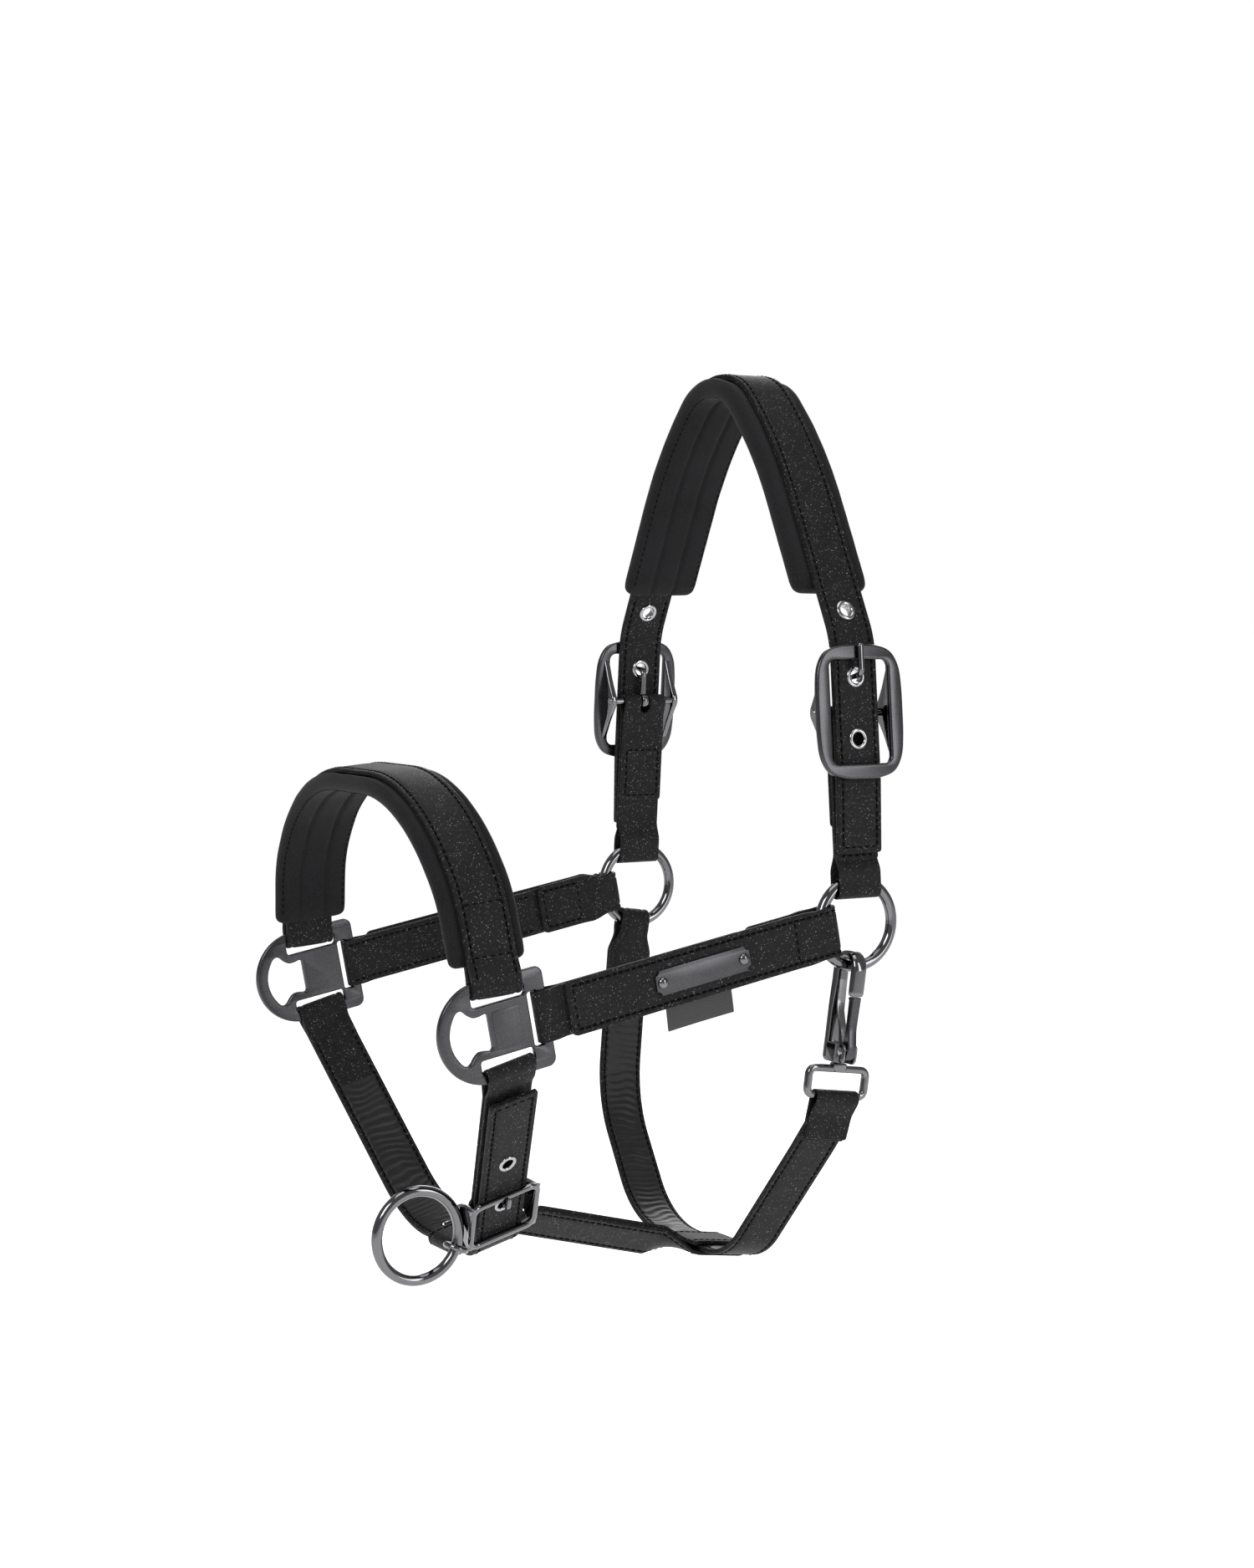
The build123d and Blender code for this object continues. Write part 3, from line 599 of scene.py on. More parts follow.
def edge_rows(path, low, high, width, v, seam=SEAM):
    """Both long rows of a strap."""
    u = width / 2 - seam
    return long_row(path, low, high, u, v) + long_row(path, low, high, -u, v)


def box_rows(path, low, high, width, v, seam=SEAM):
    """A stitched box."""
    u = width / 2 - seam
    rows = edge_rows(path, low, high, width, v, seam)
    return rows + cross_row(path, low, -u, u, v) + cross_row(path, high, -u, u, v)


def cut_holes(obj, places):
    """Round holes through a piece: (centre, axis, radius, length) in metres."""
    for centre, axis, radius, length in places:
        bm = bmesh.new()
        turn = Vector((0, 0, 1)).rotation_difference(axis).to_matrix().to_4x4()
        bmesh.ops.create_cone(
            bm,
            cap_ends=True,
            segments=40,
            radius1=radius,
            radius2=radius,
            depth=length,
            matrix=Matrix.Translation(centre) @ turn,
        )
        mesh = bpy.data.meshes.new("cutter")
        bm.to_mesh(mesh)
        bm.free()
        cutter = bpy.data.objects.new("cutter", mesh)
        to_scene(cutter)
        modifier = obj.modifiers.new("hole", "BOOLEAN")
        modifier.object = cutter
        modifier.operation = "DIFFERENCE"
        modifier.solver = "EXACT"
        result = evaluated(obj)
        obj.modifiers.clear()
        obj.data = result
        bpy.data.objects.remove(cutter)


def plate(name, plane, outer, holes, low, high, bevel, body, nodes=(), face=None, rim=None):
    """A flat plate with rounded arrises: face material on its faces, rim on its edges."""
    curve = bpy.data.curves.new(name, "CURVE")
    curve.dimensions = "2D"
    curve.fill_mode = "BOTH"
    curve.extrude = ((high - low) / 2 - bevel) * MM
    curve.bevel_depth = bevel * MM
    curve.bevel_resolution = 3
    curve.offset = -bevel * MM
    for loop in [outer] + list(holes):
        spline = curve.splines.new("POLY")
        spline.points.add(len(loop) - 1)
        spline.use_cyclic_u = True
        for point, (a, b) in zip(spline.points, loop):
            point.co = (a * MM, b * MM, 0, 1)
    maker = bpy.data.objects.new(name + ".outline", curve)
    to_scene(maker)
    mesh = evaluated(maker)
    bpy.data.objects.remove(maker)
    bm = bmesh.new()
    bm.from_mesh(mesh)
    bmesh.ops.remove_doubles(bm, verts=bm.verts, dist=2e-6)
    bmesh.ops.recalc_face_normals(bm, faces=bm.faces)
    for f in bm.faces:
        flat = abs(f.normal.z) > 0.995
        f.material_index = 0 if flat else 1
        f.smooth = not flat
    bm.to_mesh(mesh)
    bm.free()
    mesh.materials.clear()
    mesh.materials.append(face or GUNMETAL)
    # Rims default to the lighter gunmetal: polish, plus a painted highlight along the edges.
    mesh.materials.append(rim or POLISHED_WITH_PAINTED_HIGHLIGHT)
    mesh.transform(plane.raised((low + high) / 2).matrix())
    mesh.name = name
    mesh.set_sharp_from_angle(angle=math.radians(35))
    return new_object(name, mesh, (), body, nodes)


def rounded(points, radii):
    """A closed outline with rounded corners, as pairs."""
    return [(p.x, p.y) for p in fillet(points, radii, closed=True)]


def rounded_box(width, height, radius, at=(0, 0)):
    """A rounded rectangle."""
    x, y = at
    w, h = width / 2, height / 2
    corners = [(x - w, y - h), (x + w, y - h), (x + w, y + h), (x - w, y + h)]
    return rounded(corners, [radius] * 4)


def smooth_loop(points, per):
    """A closed Catmull-Rom curve through points."""
    out = []
    count = len(points)
    for i in range(count):
        p0, p1, p2, p3 = (Vector(points[(i + k - 1) % count]) for k in range(4))
        for k in range(per):
            t = k / per
            spot = (
                p1 * 2
                + (p2 - p0) * t
                + (p0 * 2 - p1 * 5 + p2 * 4 - p3) * t * t
                + (p1 * 3 - p0 - p2 * 3 + p3) * t**3
            ) * 0.5
            out.append((spot.x, spot.y))
    return out


def lathe(plane, profile, count=48, centre=(0, 0)):
    """Verts and faces of a closed profile (radius, height) turned about a plane's normal."""
    verts = []
    for i in range(count):
        angle = 2 * math.pi * i / count
        for radius, height in profile:
            verts.append(
                plane.at(
                    centre[0] + radius * math.cos(angle),
                    centre[1] + radius * math.sin(angle),
                    height,
                )
            )
    return verts, tube_faces(count, len(profile))


def lathe_piece(name, parts, material, body, nodes=(), sharp=40):
    """Several turned shapes as one piece."""
    verts = []
    faces = []
    for more_verts, more_faces in parts:
        base = len(verts)
        verts.extend(more_verts)
        faces.extend(tuple(base + i for i in f) for f in more_faces)
    return new_object(name, mesh_from(name, verts, faces, sharp=sharp), [material], body, nodes)


def wire_ring(name, plane, mean, wire, body, nodes):
    """A welded round ring in a plane."""
    profile = [
        (mean + wire * math.cos(2 * math.pi * k / 24), wire * math.sin(2 * math.pi * k / 24))
        for k in range(24)
    ]
    part = lathe(plane, profile, 128)
    return lathe_piece(name, [part], CHROME, body, nodes, sharp=80)


def blob(power, width, thick, count=24):
    """A superellipse section: full corners at high power, round at 2."""
    ring = []
    for k in range(count):
        angle = 2 * math.pi * k / count
        c, s = math.cos(angle), math.sin(angle)
        ring.append(
            (
                math.copysign(abs(c) ** (2 / power), c) * width / 2,
                math.copysign(abs(s) ** (2 / power), s) * thick / 2,
            )
        )
    return ring


def eyelet(plane, hole, outer, half):
    """A rolled eyelet: tube with a domed rim on both faces of the strap."""
    lip = (outer - hole) / 2
    crest = (outer + hole) / 2
    profile = []
    for k in range(9):
        angle = math.pi * k / 8
        profile.append((crest - lip * math.cos(angle), half + 0.85 * math.sin(angle)))
    profile += [(outer, half - 0.1), (outer, -half + 0.1)]
    for k in range(9):
        angle = math.pi * k / 8
        profile.append((crest + lip * math.cos(angle), -half - 0.85 * math.sin(angle)))
    return lathe(plane, profile, 40)


# ------------------------------------------------------------------ headpiece
billet_out = BAR + 0.15 + 2 + 0.15 + STRAP / 2
crown_top = 9.0 + 0.1 + STRAP / 2


def in_arch(n, up):
    """Place beside the left buckle, in the plane of the crown arch."""
    spot = crown_side.origin + crown_side.x * n + crown_side.y * up
    return (spot.x, spot.z)


left_half = [in_arch(3.6, 13), in_arch(billet_out, 48), in_arch(billet_out, 116)]
left_half += [(52, -26), (17, crown_top)]
crown_points = left_half + [(-x, z) for x, z in reversed(left_half)]
crown = Path(crown_arch, crown_points, [30, 45, 200, 38, 38, 200, 45, 30])

crown_strap = strap_piece(
    "crown_strap", crown, 0, crown.length, STRAP_WIDTH, STRAP, GLITTER, "headpiece",
    ("crown_strap",), corner=1.6,
)
shoulder = Vector(left_half[2])
shoulder_dir = (Vector(left_half[3]) - shoulder).normalized()
shoulder_at = shoulder + shoulder_dir * 15
eyelet_planes = [
    Plane(crown_side.origin + crown_side.x * billet_out + crown_side.y * up, (0, 1, 0), crown_side.x)
    for up in (98, 68)
]
eyelet_planes.append(
    Plane((shoulder_at.x, 0, shoulder_at.y), (0, 1, 0), (shoulder_dir.y, 0, -shoulder_dir.x))
)
holes = []
for plane in eyelet_planes:
    holes.append((plane.origin * MM, plane.z, 4.0 * MM, 12 * MM))
    other = Vector((-plane.origin.x, 0, plane.origin.z))
    holes.append((other * MM, Vector((-plane.z.x, 0, plane.z.z)), 4.0 * MM, 12 * MM))
cut_holes(crown_strap, holes)
# Crown eyelets in the lighter gunmetal: polish with a painted highlight.
left_eyelets = lathe_piece(
    "left_crown_eyelets", [eyelet(p, 3.1, 5.2, STRAP / 2) for p in eyelet_planes],
    POLISHED_WITH_PAINTED_HIGHLIGHT, "headpiece", ("left_crown_eyelets",), sharp=60,
)
mirrored(left_eyelets, "right_crown_eyelets", "headpiece", ("right_crown_eyelets",))
face = STRAP / 2 - 0.12
spots = edge_rows(crown, 3, crown.length - 3, STRAP_WIDTH, face)
spots += edge_rows(crown, 3, 125, STRAP_WIDTH, -face)
spots += edge_rows(crown, crown.length - 125, crown.length - 3, STRAP_WIDTH, -face)
spots += cross_row(crown, 3, -ROW, ROW, face) + cross_row(crown, crown.length - 3, -ROW, ROW, face)
stitch_mesh("crown_strap_stitches", spots, "headpiece")


def pad_ring(width, thick):
    """Section of a padded lining: puffed cells inside, a soft rim beside the strap."""
    half = width / 2
    ring = []
    steps = 40
    for k in range(steps + 1):
        u = -half + 2.2 + (width - 4.4) * k / steps
        cell = 0.0
        for g in PAD_GROOVES:
            cell += 1.25 * math.exp(-(((u - g) / 1.25) ** 2))
        puff = 0.9 * (1 - abs(u / half) ** 3)
        ring.append((u, -(thick / 2 - 0.6 + puff - cell)))
    for k in range(1, 8):
        angle = -math.pi / 2 + math.pi * k / 8
        ring.append((half - 2.2 + 2.2 * math.cos(angle), math.sin(angle) * (thick / 2 - 0.3)))
    for k in range(steps + 1):
        u = half - 2.2 - (width - 4.4) * k / steps
        rim = 0.0
        if abs(u) > PAD_STRAP_HALF:
            rim = 1.1 * math.sin(math.pi * min(1.0, (abs(u) - PAD_STRAP_HALF) / (half - PAD_STRAP_HALF)))
        ring.append((u, thick / 2 - 0.35 + rim))
    for k in range(1, 8):
        angle = math.pi / 2 + math.pi * k / 8
        ring.append((-half + 2.2 + 2.2 * math.cos(angle), math.sin(angle) * (thick / 2 - 0.3)))
    return ring


def pad_piece(name, path, low, high, width, thick, body, node, corner=4.0):
    """A padded lining with rounded, pressed ends."""

    def section(s):
        away = min(s - low, high - s)
        cut = 0.0
        if away < corner:
            cut = corner - math.sqrt(max(0.0, corner**2 - (corner - away) ** 2))
        thin = 0.35 + 0.65 * min(1.0, (away + 0.4) / 7.0) ** 0.5
        ripple = 0.12 * noise.noise(Vector((s * 0.09, width, 0)))
        narrow = (width - 2 * cut) / width
        wave = 1 + 0.5 * ripple * min(1.0, away / 10)
        return [(u * narrow, v * thin * wave) for u, v in pad_ring(width, thick)]

    mesh = sweep(name, path, section, low, high, 2.0, sharp=70)
    piece = new_object(name, mesh, [PADDING], body, (node,))
    return piece


def offset_path(path, v, low, high):
    """A path that runs v outwards of another one."""
    count = int((high - low) / 2.0)
    points = []
    for i in range(count + 1):
        s = low + (high - low) * i / count
        points.append(path.point(s) + path.heading(s)[1] * v)
    return Path(path.plane, points, [0] * (len(points) - 2), path.out)


def first_above(path, height, s=0.0):
    """How far along a path, from s on, it first rises above a height in its plane."""
    while path.point(s).y < height:
        s += 0.25
    return s


start = first_above(crown, -96)
crown_lining = offset_path(crown, -(STRAP / 2 + 0.1 + CROWN_PAD / 2), start, crown.length - start)
pad_piece(
    "crown_pad", crown_lining, 0, crown_lining.length, CROWN_PAD_WIDTH, CROWN_PAD, "headpiece", "crown_pad"
)
spots = edge_rows(crown_lining, 5, crown_lining.length - 5, CROWN_PAD_WIDTH, 4.35, 3.4)
spots += edge_rows(crown_lining, 6, crown_lining.length - 6, CROWN_PAD_WIDTH, -4.3, 2.6)
stitch_mesh("crown_pad_stitches", spots, "headpiece", length=2.3, radius=0.3)

# Left crown chape: an outer strap folded round the bar, and a short loop through the ring.
fold = Path(
    crown_side,
    [
        (1.35, 9.5), (1.35, 73.5), (2.85, 78.5), (2.85, 83.85),
        (-2.85, 83.85), (-2.85, 78.5), (-1.35, 73.5), (-1.35, 26),
    ],
    [5, 5, 2.7, 2.7, 5, 5],
)
left_chape = strap_piece(
    "left_crown_chape", fold, 0, fold.length, STRAP_WIDTH, 1.3, GLITTER, "headpiece",
    ("left_crown_chape",), corner=2.0, notch=0.05, edge=0.3, depth=0.12,
)
cut_holes(
    left_chape,
    [(crown_side.at(0, CROWN_BAR_UP + d), crown_side.x, 3.1 * MM, 20 * MM) for d in (-3.4, 0.5, 4.4)],
)
mirrored(left_chape, "right_crown_chape", "headpiece", ("right_crown_chape",))
ring_drop = RING_MEAN - math.sqrt(RING_MEAN**2 - 12.5**2) + 0.8
loop_low = -ring_drop - 3.6
loop = Path(
    crown_side,
    [
        (0.4, 62), (0.4, 12), (3.6, 5), (3.6, loop_low),
        (-3.6, loop_low), (-3.6, 5), (-0.4, 12), (-0.4, 62),
    ],
    [6, 6, 3.5, 3.5, 6, 6],
)
left_loop = strap_piece(
    "left_crown_ring_loop", loop, 0, loop.length, 24.2, 0.9, GLITTER, "headpiece",
    corner=1.0, notch=0.03, edge=0.25, depth=0.0,
)
mirrored(left_loop, "right_crown_ring_loop", "headpiece")
spots = edge_rows(fold, 2.5, 66, STRAP_WIDTH, 0.6)
spots += cross_row(fold, 2.4, -ROW, ROW, 0.6)
spots += box_rows(fold, fold.length - 28, fold.length - 3, STRAP_WIDTH, 0.6)
left_chape_stitches = stitch_mesh("left_crown_chape_stitches", spots, "headpiece")
mirrored(left_chape_stitches, "right_crown_chape_stitches", "headpiece")

# Crown buckles: flat frame, side arms to the bar, bar and tongue.
quarter = [(-24.8, 12), (-23.4, 22), (-18.7, 29.2), (-10, 32.1)]
half_outline = [(-25, 0)] + quarter + [(0, 32.5)] + [(-x, y) for x, y in reversed(quarter)]
frame_outline = smooth_loop(half_outline + [(-x, -y) for x, y in half_outline], 5)
frame_plane = crown_face.raised(FRAME_INNER)
frame_plane = Plane(frame_plane.origin + frame_plane.y * CROWN_BAR_UP, frame_plane.x, frame_plane.z)
left_frame = plate(
    "left_crown_buckle_frame", frame_plane, frame_outline, [rounded_box(34, 50, 3.5)], 0, FRAME_THICK, 1.15,
    "headpiece", ("left_crown_buckle_frame",),
)
mirrored(left_frame, "right_crown_buckle_frame", "headpiece", ("right_crown_buckle_frame",))
arm_outline = smooth_loop(
    [
        (FRAME_INNER + 1.2, 21.5), (FRAME_INNER - 0.4, 20.5), (3.0, 11.5), (-1.0, 4.8), (-2.5, 2.4),
        (-2.9, 0),
        (-2.5, -2.4), (-1.0, -4.8), (3.0, -11.5), (FRAME_INNER - 0.4, -20.5), (FRAME_INNER + 1.2, -21.5),
        (FRAME_INNER + 1.2, -10), (FRAME_INNER + 1.2, 10),
    ],
    4,
)
arm_middle = 19.2
for tag, y in (("front", -arm_middle), ("rear", arm_middle)):
    arm_plane = Plane(
        crown_side.origin + Vector((0, y, 0)) + crown_side.y * CROWN_BAR_UP, crown_side.x, crown_side.z
    )
    arm = plate(
        f"left_crown_buckle_arm_{tag}", arm_plane, arm_outline, [], -1.6, 1.6, 0.9,
        "headpiece", face=CHROME, rim=POLISHED_WITH_PAINTED_HIGHLIGHT,
    )
    mirrored(arm, f"right_crown_buckle_arm_{tag}", "headpiece")


def rod(plane, radius, half, centre):
    """A plain round bar with chamfered ends, as verts and faces."""
    profile = [(0.01, -half), (radius - 0.4, -half), (radius, -half + 0.4), (radius, half - 0.4)]
    profile += [(radius - 0.4, half), (0.01, half)]
    return lathe(plane, profile, 32, centre)


left_bar = lathe_piece(
    "left_crown_buckle_bar", [rod(crown_side, BAR, 21.2, (0, CROWN_BAR_UP))], CHROME,
    "headpiece", ("left_crown_buckle_bar",), sharp=30,
)
mirrored(left_bar, "right_crown_buckle_bar", "headpiece", ("right_crown_buckle_bar",))


def tongue(name, plane, up, points, radii, thick, coil, half, body, node):
    """A buckle tongue: a tapering rod and its coil round the bar."""
    line = Path(plane, points, radii)

    def section(s):
        away = line.length - s
        slim = 1.0 if away > 1.4 else math.sqrt(max(0.02, 1 - ((1.4 - away) / 1.4) ** 2))
        spread = 1.0 + 0.25 * max(0.0, 1 - s / 6)
        return blob(2.4, thick * slim * spread * 1.15, thick * slim)

    stem = sweep(name, line, section, 0, line.length, 0.8, sharp=60)
    ring = [(BAR + 0.06, -half), (coil - 0.5, -half), (coil, 0.5 - half)]
    ring += [(coil, half - 0.5), (coil - 0.5, half), (BAR + 0.06, half)]
    verts, faces = lathe(plane, ring, 40, (0, up))
    bm = bmesh.new()
    bm.from_mesh(stem)
    made = [bm.verts.new(v) for v in verts]
    for f in faces:
        bm.faces.new([made[i] for i in f])
    bmesh.ops.recalc_face_normals(bm, faces=bm.faces)
    for f in bm.faces:
        f.smooth = True
    bm.to_mesh(stem)
    bm.free()
    stem.set_sharp_from_angle(angle=math.radians(50))
    return new_object(name, stem, [CHROME], body, (node,))


tongue_out = FRAME_INNER + FRAME_THICK + 0.15 + 1.4
left_tongue = tongue(
    "left_crown_buckle_tongue", crown_side, CROWN_BAR_UP,
    [(0.4, 83.6), (0.6, 97.4), (tongue_out, 99), (tongue_out, 114)], [2.6, 2.6], 2.7, 3.9, 1.8,
    "left_crown_tongue", "left_crown_buckle_tongue",
)
mirrored(
    left_tongue, "right_crown_buckle_tongue", "right_crown_tongue",
    ("right_crown_buckle_tongue",),
)

# Cheek rings.
ring_plane = Plane((SIDE_X, 0, RING_Z), (0, 1, 0), (1, 0, 0))
left_ring = wire_ring(
    "left_cheek_ring", ring_plane, RING_MEAN, RING_WIRE, "left_ring", ("left_cheek_ring",)
)
mirrored(left_ring, "right_cheek_ring", "right_ring", ("right_cheek_ring",))

# ------------------------------------------------------------------ cheeks


def outer_cheek(name, ring_width):
    """The folded outer cheek strap, this wide where it goes round the ring."""
    drop = RING_MEAN - math.sqrt(RING_MEAN**2 - (ring_width / 2) ** 2) + 0.6
    end = RING_MEAN - drop - 4.1
    line = Path(
        cheek_top,
        [(163, 3.1), (38, 3.1), (27, 4.1), (end, 4.1), (end, -4.1), (26, -4.1), (36, -1.0), (62, -1.0)],
        [14, 14, 4.0, 4.0, 9, 9],
    )

    def wide(s):
        part = min(1.0, max(0.0, (line.point(s).x - 22) / 10))
        return ring_width + (OVERLAY_WIDTH - ring_width) * part * part * (3 - 2 * part)

    piece = strap_piece(
        name, line, 0, line.length, wide, 1.9, GLITTER, "lower", (name,), corner=3.0, bulge=0.15, notch=0.1
    )
    return line, piece


outer_line = outer_cheek("left_cheek_overlay", 24.4)[0]
right_outer = outer_cheek("right_cheek_overlay", 20.6)[1]
right_outer.data.transform(Matrix.Scale(-1, 4, (1, 0, 0)))
right_outer.data.flip_normals()
bar_at = FITTING_REACH - 17.75
inner_line = Path(
    cheek_top,
    [
        (37, 1), (165, 1), (170.4, 2.85), (bar_at + 3.6, 2.85),
        (bar_at + 3.6, -2.85), (170.4, -2.85), (165, -1), (65, -1),
    ],
    [5, 5, 2.4, 2.4, 5, 5],
    out=-1,
)
left_inner = strap_piece(
    "left_cheek_strap", inner_line, 0, inner_line.length, 24, 1.9, GLITTER, "lower",
    ("left_cheek_strap",), corner=2.0, depth=0.0, notch=0.1,
)
mirrored(left_inner, "right_cheek_strap", "lower", ("right_cheek_strap",))
spots = edge_rows(outer_line, 3, 150, OVERLAY_WIDTH, 1.0)
spots += cross_row(outer_line, 3.4, -ROW, ROW, 1.0) + cross_row(outer_line, 126, -10, 10, 1.05)
spots += box_rows(outer_line, outer_line.length - 24, outer_line.length - 3, 25, 0.92)
spots += edge_rows(inner_line, 146, inner_line.length - 3, 24, 0.92)
left_cheek_stitches = stitch_mesh("left_cheek_stitches", spots, "lower")
mirrored(left_cheek_stitches, "right_cheek_stitches", "lower")

# Name plate with notched corners, rivets and the sewn label.
plate_at = 91.0
notched = []
for sx, sy in ((-1, -1), (1, -1), (1, 1), (-1, 1)):
    corner = Vector((plate_at + sx * 26, sy * 6))
    arc = []
    for k in range(7):
        angle = math.pi / 2 * k / 6
        arc.append((corner.x - sx * 2.3 * math.cos(angle), corner.y - sy * 2.3 * math.sin(angle)))
    if sx * sy > 0:
        arc.reverse()
    notched += arc
plate(
    "name_plate", cheek_face.raised(-5.2), notched, [], -0.1, 1.0, 0.25, "lower", ("name_plate",)
)
dome = [(0.01, 0), (2.7, 0), (2.7, -0.35), (2.45, -1.0), (1.9, -1.5), (1.1, -1.85), (0.01, -2.0)]
rivets = [lathe(cheek_face.raised(-5.15), dome, 32, (plate_at + d, 0)) for d in (-22.5, 22.5)]
lathe_piece("name_plate_rivets", rivets, CHROME, "lower", ("name_plate_rivets",), sharp=60)


def label_mesh(name):
    """A folded woven label, bowed a little, with its fold at the bottom."""
    verts = []
    across, down = 24, 20
    for side in (0, 1):
        for j in range(down + 1):
            for i in range(across + 1):
                x = -18 + 36 * i / across
                drop = 26 * j / down
                bow = 0.5 * math.sin(math.pi * i / across) * (j / down) ** 1.5
                curl = 0.35 * (drop / 26) ** 2
                deep = (0.05 + 0.5 * side) if j < down else 0.3
                flare = 1 + 0.02 * (drop / 26)
                verts.append(
                    cheek_face.at(plate_at + x * flare + drop * 0.04, -drop + 0.5, 2.1 + deep + bow + curl)
                )
    faces = slab_faces(across, down)
    return mesh_from(name, verts, faces, sharp=60)


new_object("woven_label", label_mesh("woven_label"), [LABEL], "lower", ("woven_label",))

# ------------------------------------------------------------------ nose fittings
outline = []
front, rear, half = 13.0, -20.0, 23.5
for k in range(49):
    angle = -math.pi / 2 + math.pi * k / 48
    outline.append((front + half * math.cos(angle), half * math.sin(angle)))
for sign in (1, -1):
    lug = []
    for k in range(9):
        angle = math.pi / 2 * k / 8
        lug.append((rear + 4 - 4 * math.sin(angle), sign * (half - 4 + 4 * math.cos(angle))))
    outline += lug if sign > 0 else list(reversed(lug))
window_half = [
    (10.4, 4), (10.5, 7.4), (11.6, 8.4), (14.5, 7.9), (17.5, 8.0), (20.0, 9.6), (22.2, 12.0), (24.0, 12.6),
    (26.2, 11.4), (28.8, 7.2), (30.1, 3.2),
]
window = [(10.4, 0)] + window_half + [(30.4, 0)] + [(x, -y) for x, y in reversed(window_half)]
slots = [
    smooth_loop(window, 4),
    rounded_box(27, 5.7, 1.6, (4.0, 15.15)),
    rounded_box(27, 5.7, 1.6, (4.0, -15.15)),
    rounded_box(5, 25.2, 1.4, (-13, 0)),
]
left_fitting = plate(
    "left_nose_fitting", fitting_face, outline, slots, -1.5, 1.5, 0.85, "lower",
    ("left_nose_fitting",),
)
mirrored(left_fitting, "right_nose_fitting", "lower", ("right_nose_fitting",))
panel = plate(
    "left_nose_fitting_panel", fitting_face, rounded_box(14, 17, 0.8, (1.6, 0)), [], -1.75, -1.4, 0.12,
    "lower",
)
mirrored(panel, "right_nose_fitting_panel", "lower")

# ------------------------------------------------------------------ noseband
nose_half = [(98, 42), (60, 91)]
wrap_low, wrap_out = -5.0, 2.6
nose_points = [
    (SIDE_X - 3.3, 10), (SIDE_X - wrap_out, 4), (SIDE_X - wrap_out, wrap_low),
    (SIDE_X + wrap_out, wrap_low), (SIDE_X + wrap_out, 4), (SIDE_X - 0.4, 12),
]
nose_radii = [4, 2.4, 2.4, 5, 10]
nose_points = nose_points + nose_half + [(-x, y) for x, y in reversed(nose_points + nose_half)]
nose_radii = nose_radii + [60, 90, 90, 60] + list(reversed(nose_radii))
nose = Path(nose_plane, nose_points, nose_radii)

strap_piece(
    "noseband_strap", nose, 0, nose.length, STRAP_WIDTH, NOSE, GLITTER, "lower", ("noseband_strap",),
    corner=1.5, bulge=0.25, notch=0.2,
)
spots = edge_rows(nose, 26, nose.length - 26, STRAP_WIDTH, NOSE / 2 + 0.02)
for s in (36, 60, nose.length - 60, nose.length - 36):
    spots += cross_row(nose, s, -ROW, ROW, NOSE / 2 + 0.02)
stitch_mesh("noseband_stitches", spots, "lower")
s = first_above(nose, 9.5, 34.0)
nose_lining = offset_path(nose, -(STRAP / 2 + 0.1 + NOSE_PAD / 2), s, nose.length - s)
pad_piece(
    "noseband_pad", nose_lining, 0, nose_lining.length, NOSE_PAD_WIDTH, NOSE_PAD, "lower", "noseband_pad",
    corner=3.5,
)
spots = edge_rows(nose_lining, 4, nose_lining.length - 4, NOSE_PAD_WIDTH, 3.7, 2.6)
spots += edge_rows(nose_lining, 5, nose_lining.length - 5, NOSE_PAD_WIDTH, -3.6, 2.4)
stitch_mesh("noseband_pad_stitches", spots, "lower", length=2.3, radius=0.3)

# ------------------------------------------------------------------ chin
chape = Path(
    chin_side,
    [
        (-1.1, -45), (-1.1, -12), (-2.75, -6), (-2.75, 5.0), (2.75, 5.0), (2.75, -5), (1.1, -10), (1.1, -84),
        (2.9, -89), (2.9, -94.9), (-2.9, -94.9), (-2.9, -89), (-1.1, -84), (-1.1, -45.4),
    ],
    [8, 6, 2.6, 2.6, 6, 5, 5, 5, 2.8, 2.8, 5, 5],
    out=-1,
)
chin_chape = strap_piece(
    "chin_chape", chape, 0, chape.length, 24.6, 1.5, GLITTER, "lower", ("chin_chape",), depth=0.1, notch=0.05,
    corner=0.5,
)
cut_holes(
    chin_chape,
    [(chin_side.at(0, -CHIN_BAR_DOWN + d), chin_side.x, 2.7 * MM, 12 * MM) for d in (-3.0, 1.0, 5.0, 9.0)],
)


def in_chin(n, down):
    """Place beside the chin buckle, in the plane of the chin arch."""
    spot = chin_side.origin + chin_side.x * n - chin_side.y * down
    local = spot - chin_plane.origin
    return Vector((local.dot(chin_plane.x), local.dot(chin_plane.y)))


top_at, low_at = in_chin(billet_out, 12), in_chin(billet_out, 60)
bend_at = top_at + (low_at - top_at) * ((-CHIN_DEPTH - top_at.y) / (low_at.y - top_at.y))
chin = Path(
    chin_plane,
    [
        tuple(top_at), tuple(bend_at), (-36, -CHIN_DEPTH), (-SIDE_X + 3, -8), (-SIDE_X - 2.6, -2),
        (-SIDE_X - 2.6, 5.0), (-SIDE_X + 2.6, 5.0), (-SIDE_X + 2.6, -6), (-SIDE_X + 9, -16),
    ],
    [16, 45, 10, 5, 2.4, 2.4, 5],
    out=-1,
)
chin_strap = strap_piece(
    "chin_strap", chin, 0, chin.length, STRAP_WIDTH, CHIN, GLITTER, "lower", ("chin_strap",),
    corner=1.6, notch=0.15,
)
chin_eyelet_down = CHIN_BAR_DOWN - 6.8
chin_places = [
    (chin_side.origin + chin_side.x * billet_out - chin_side.y * d, chin_side.x)
    for d in (chin_eyelet_down, chin_eyelet_down - 29)
]
chin_places.append((chin_plane.origin - chin_plane.x * 8 - chin_plane.y * CHIN_DEPTH, chin_plane.y * -1))
chin_eyelet_planes = [Plane(place, chin_plane.z, normal) for place, normal in chin_places]
cut_holes(chin_strap, [(p.origin * MM, p.z, 3.6 * MM, 8 * MM) for p in chin_eyelet_planes])
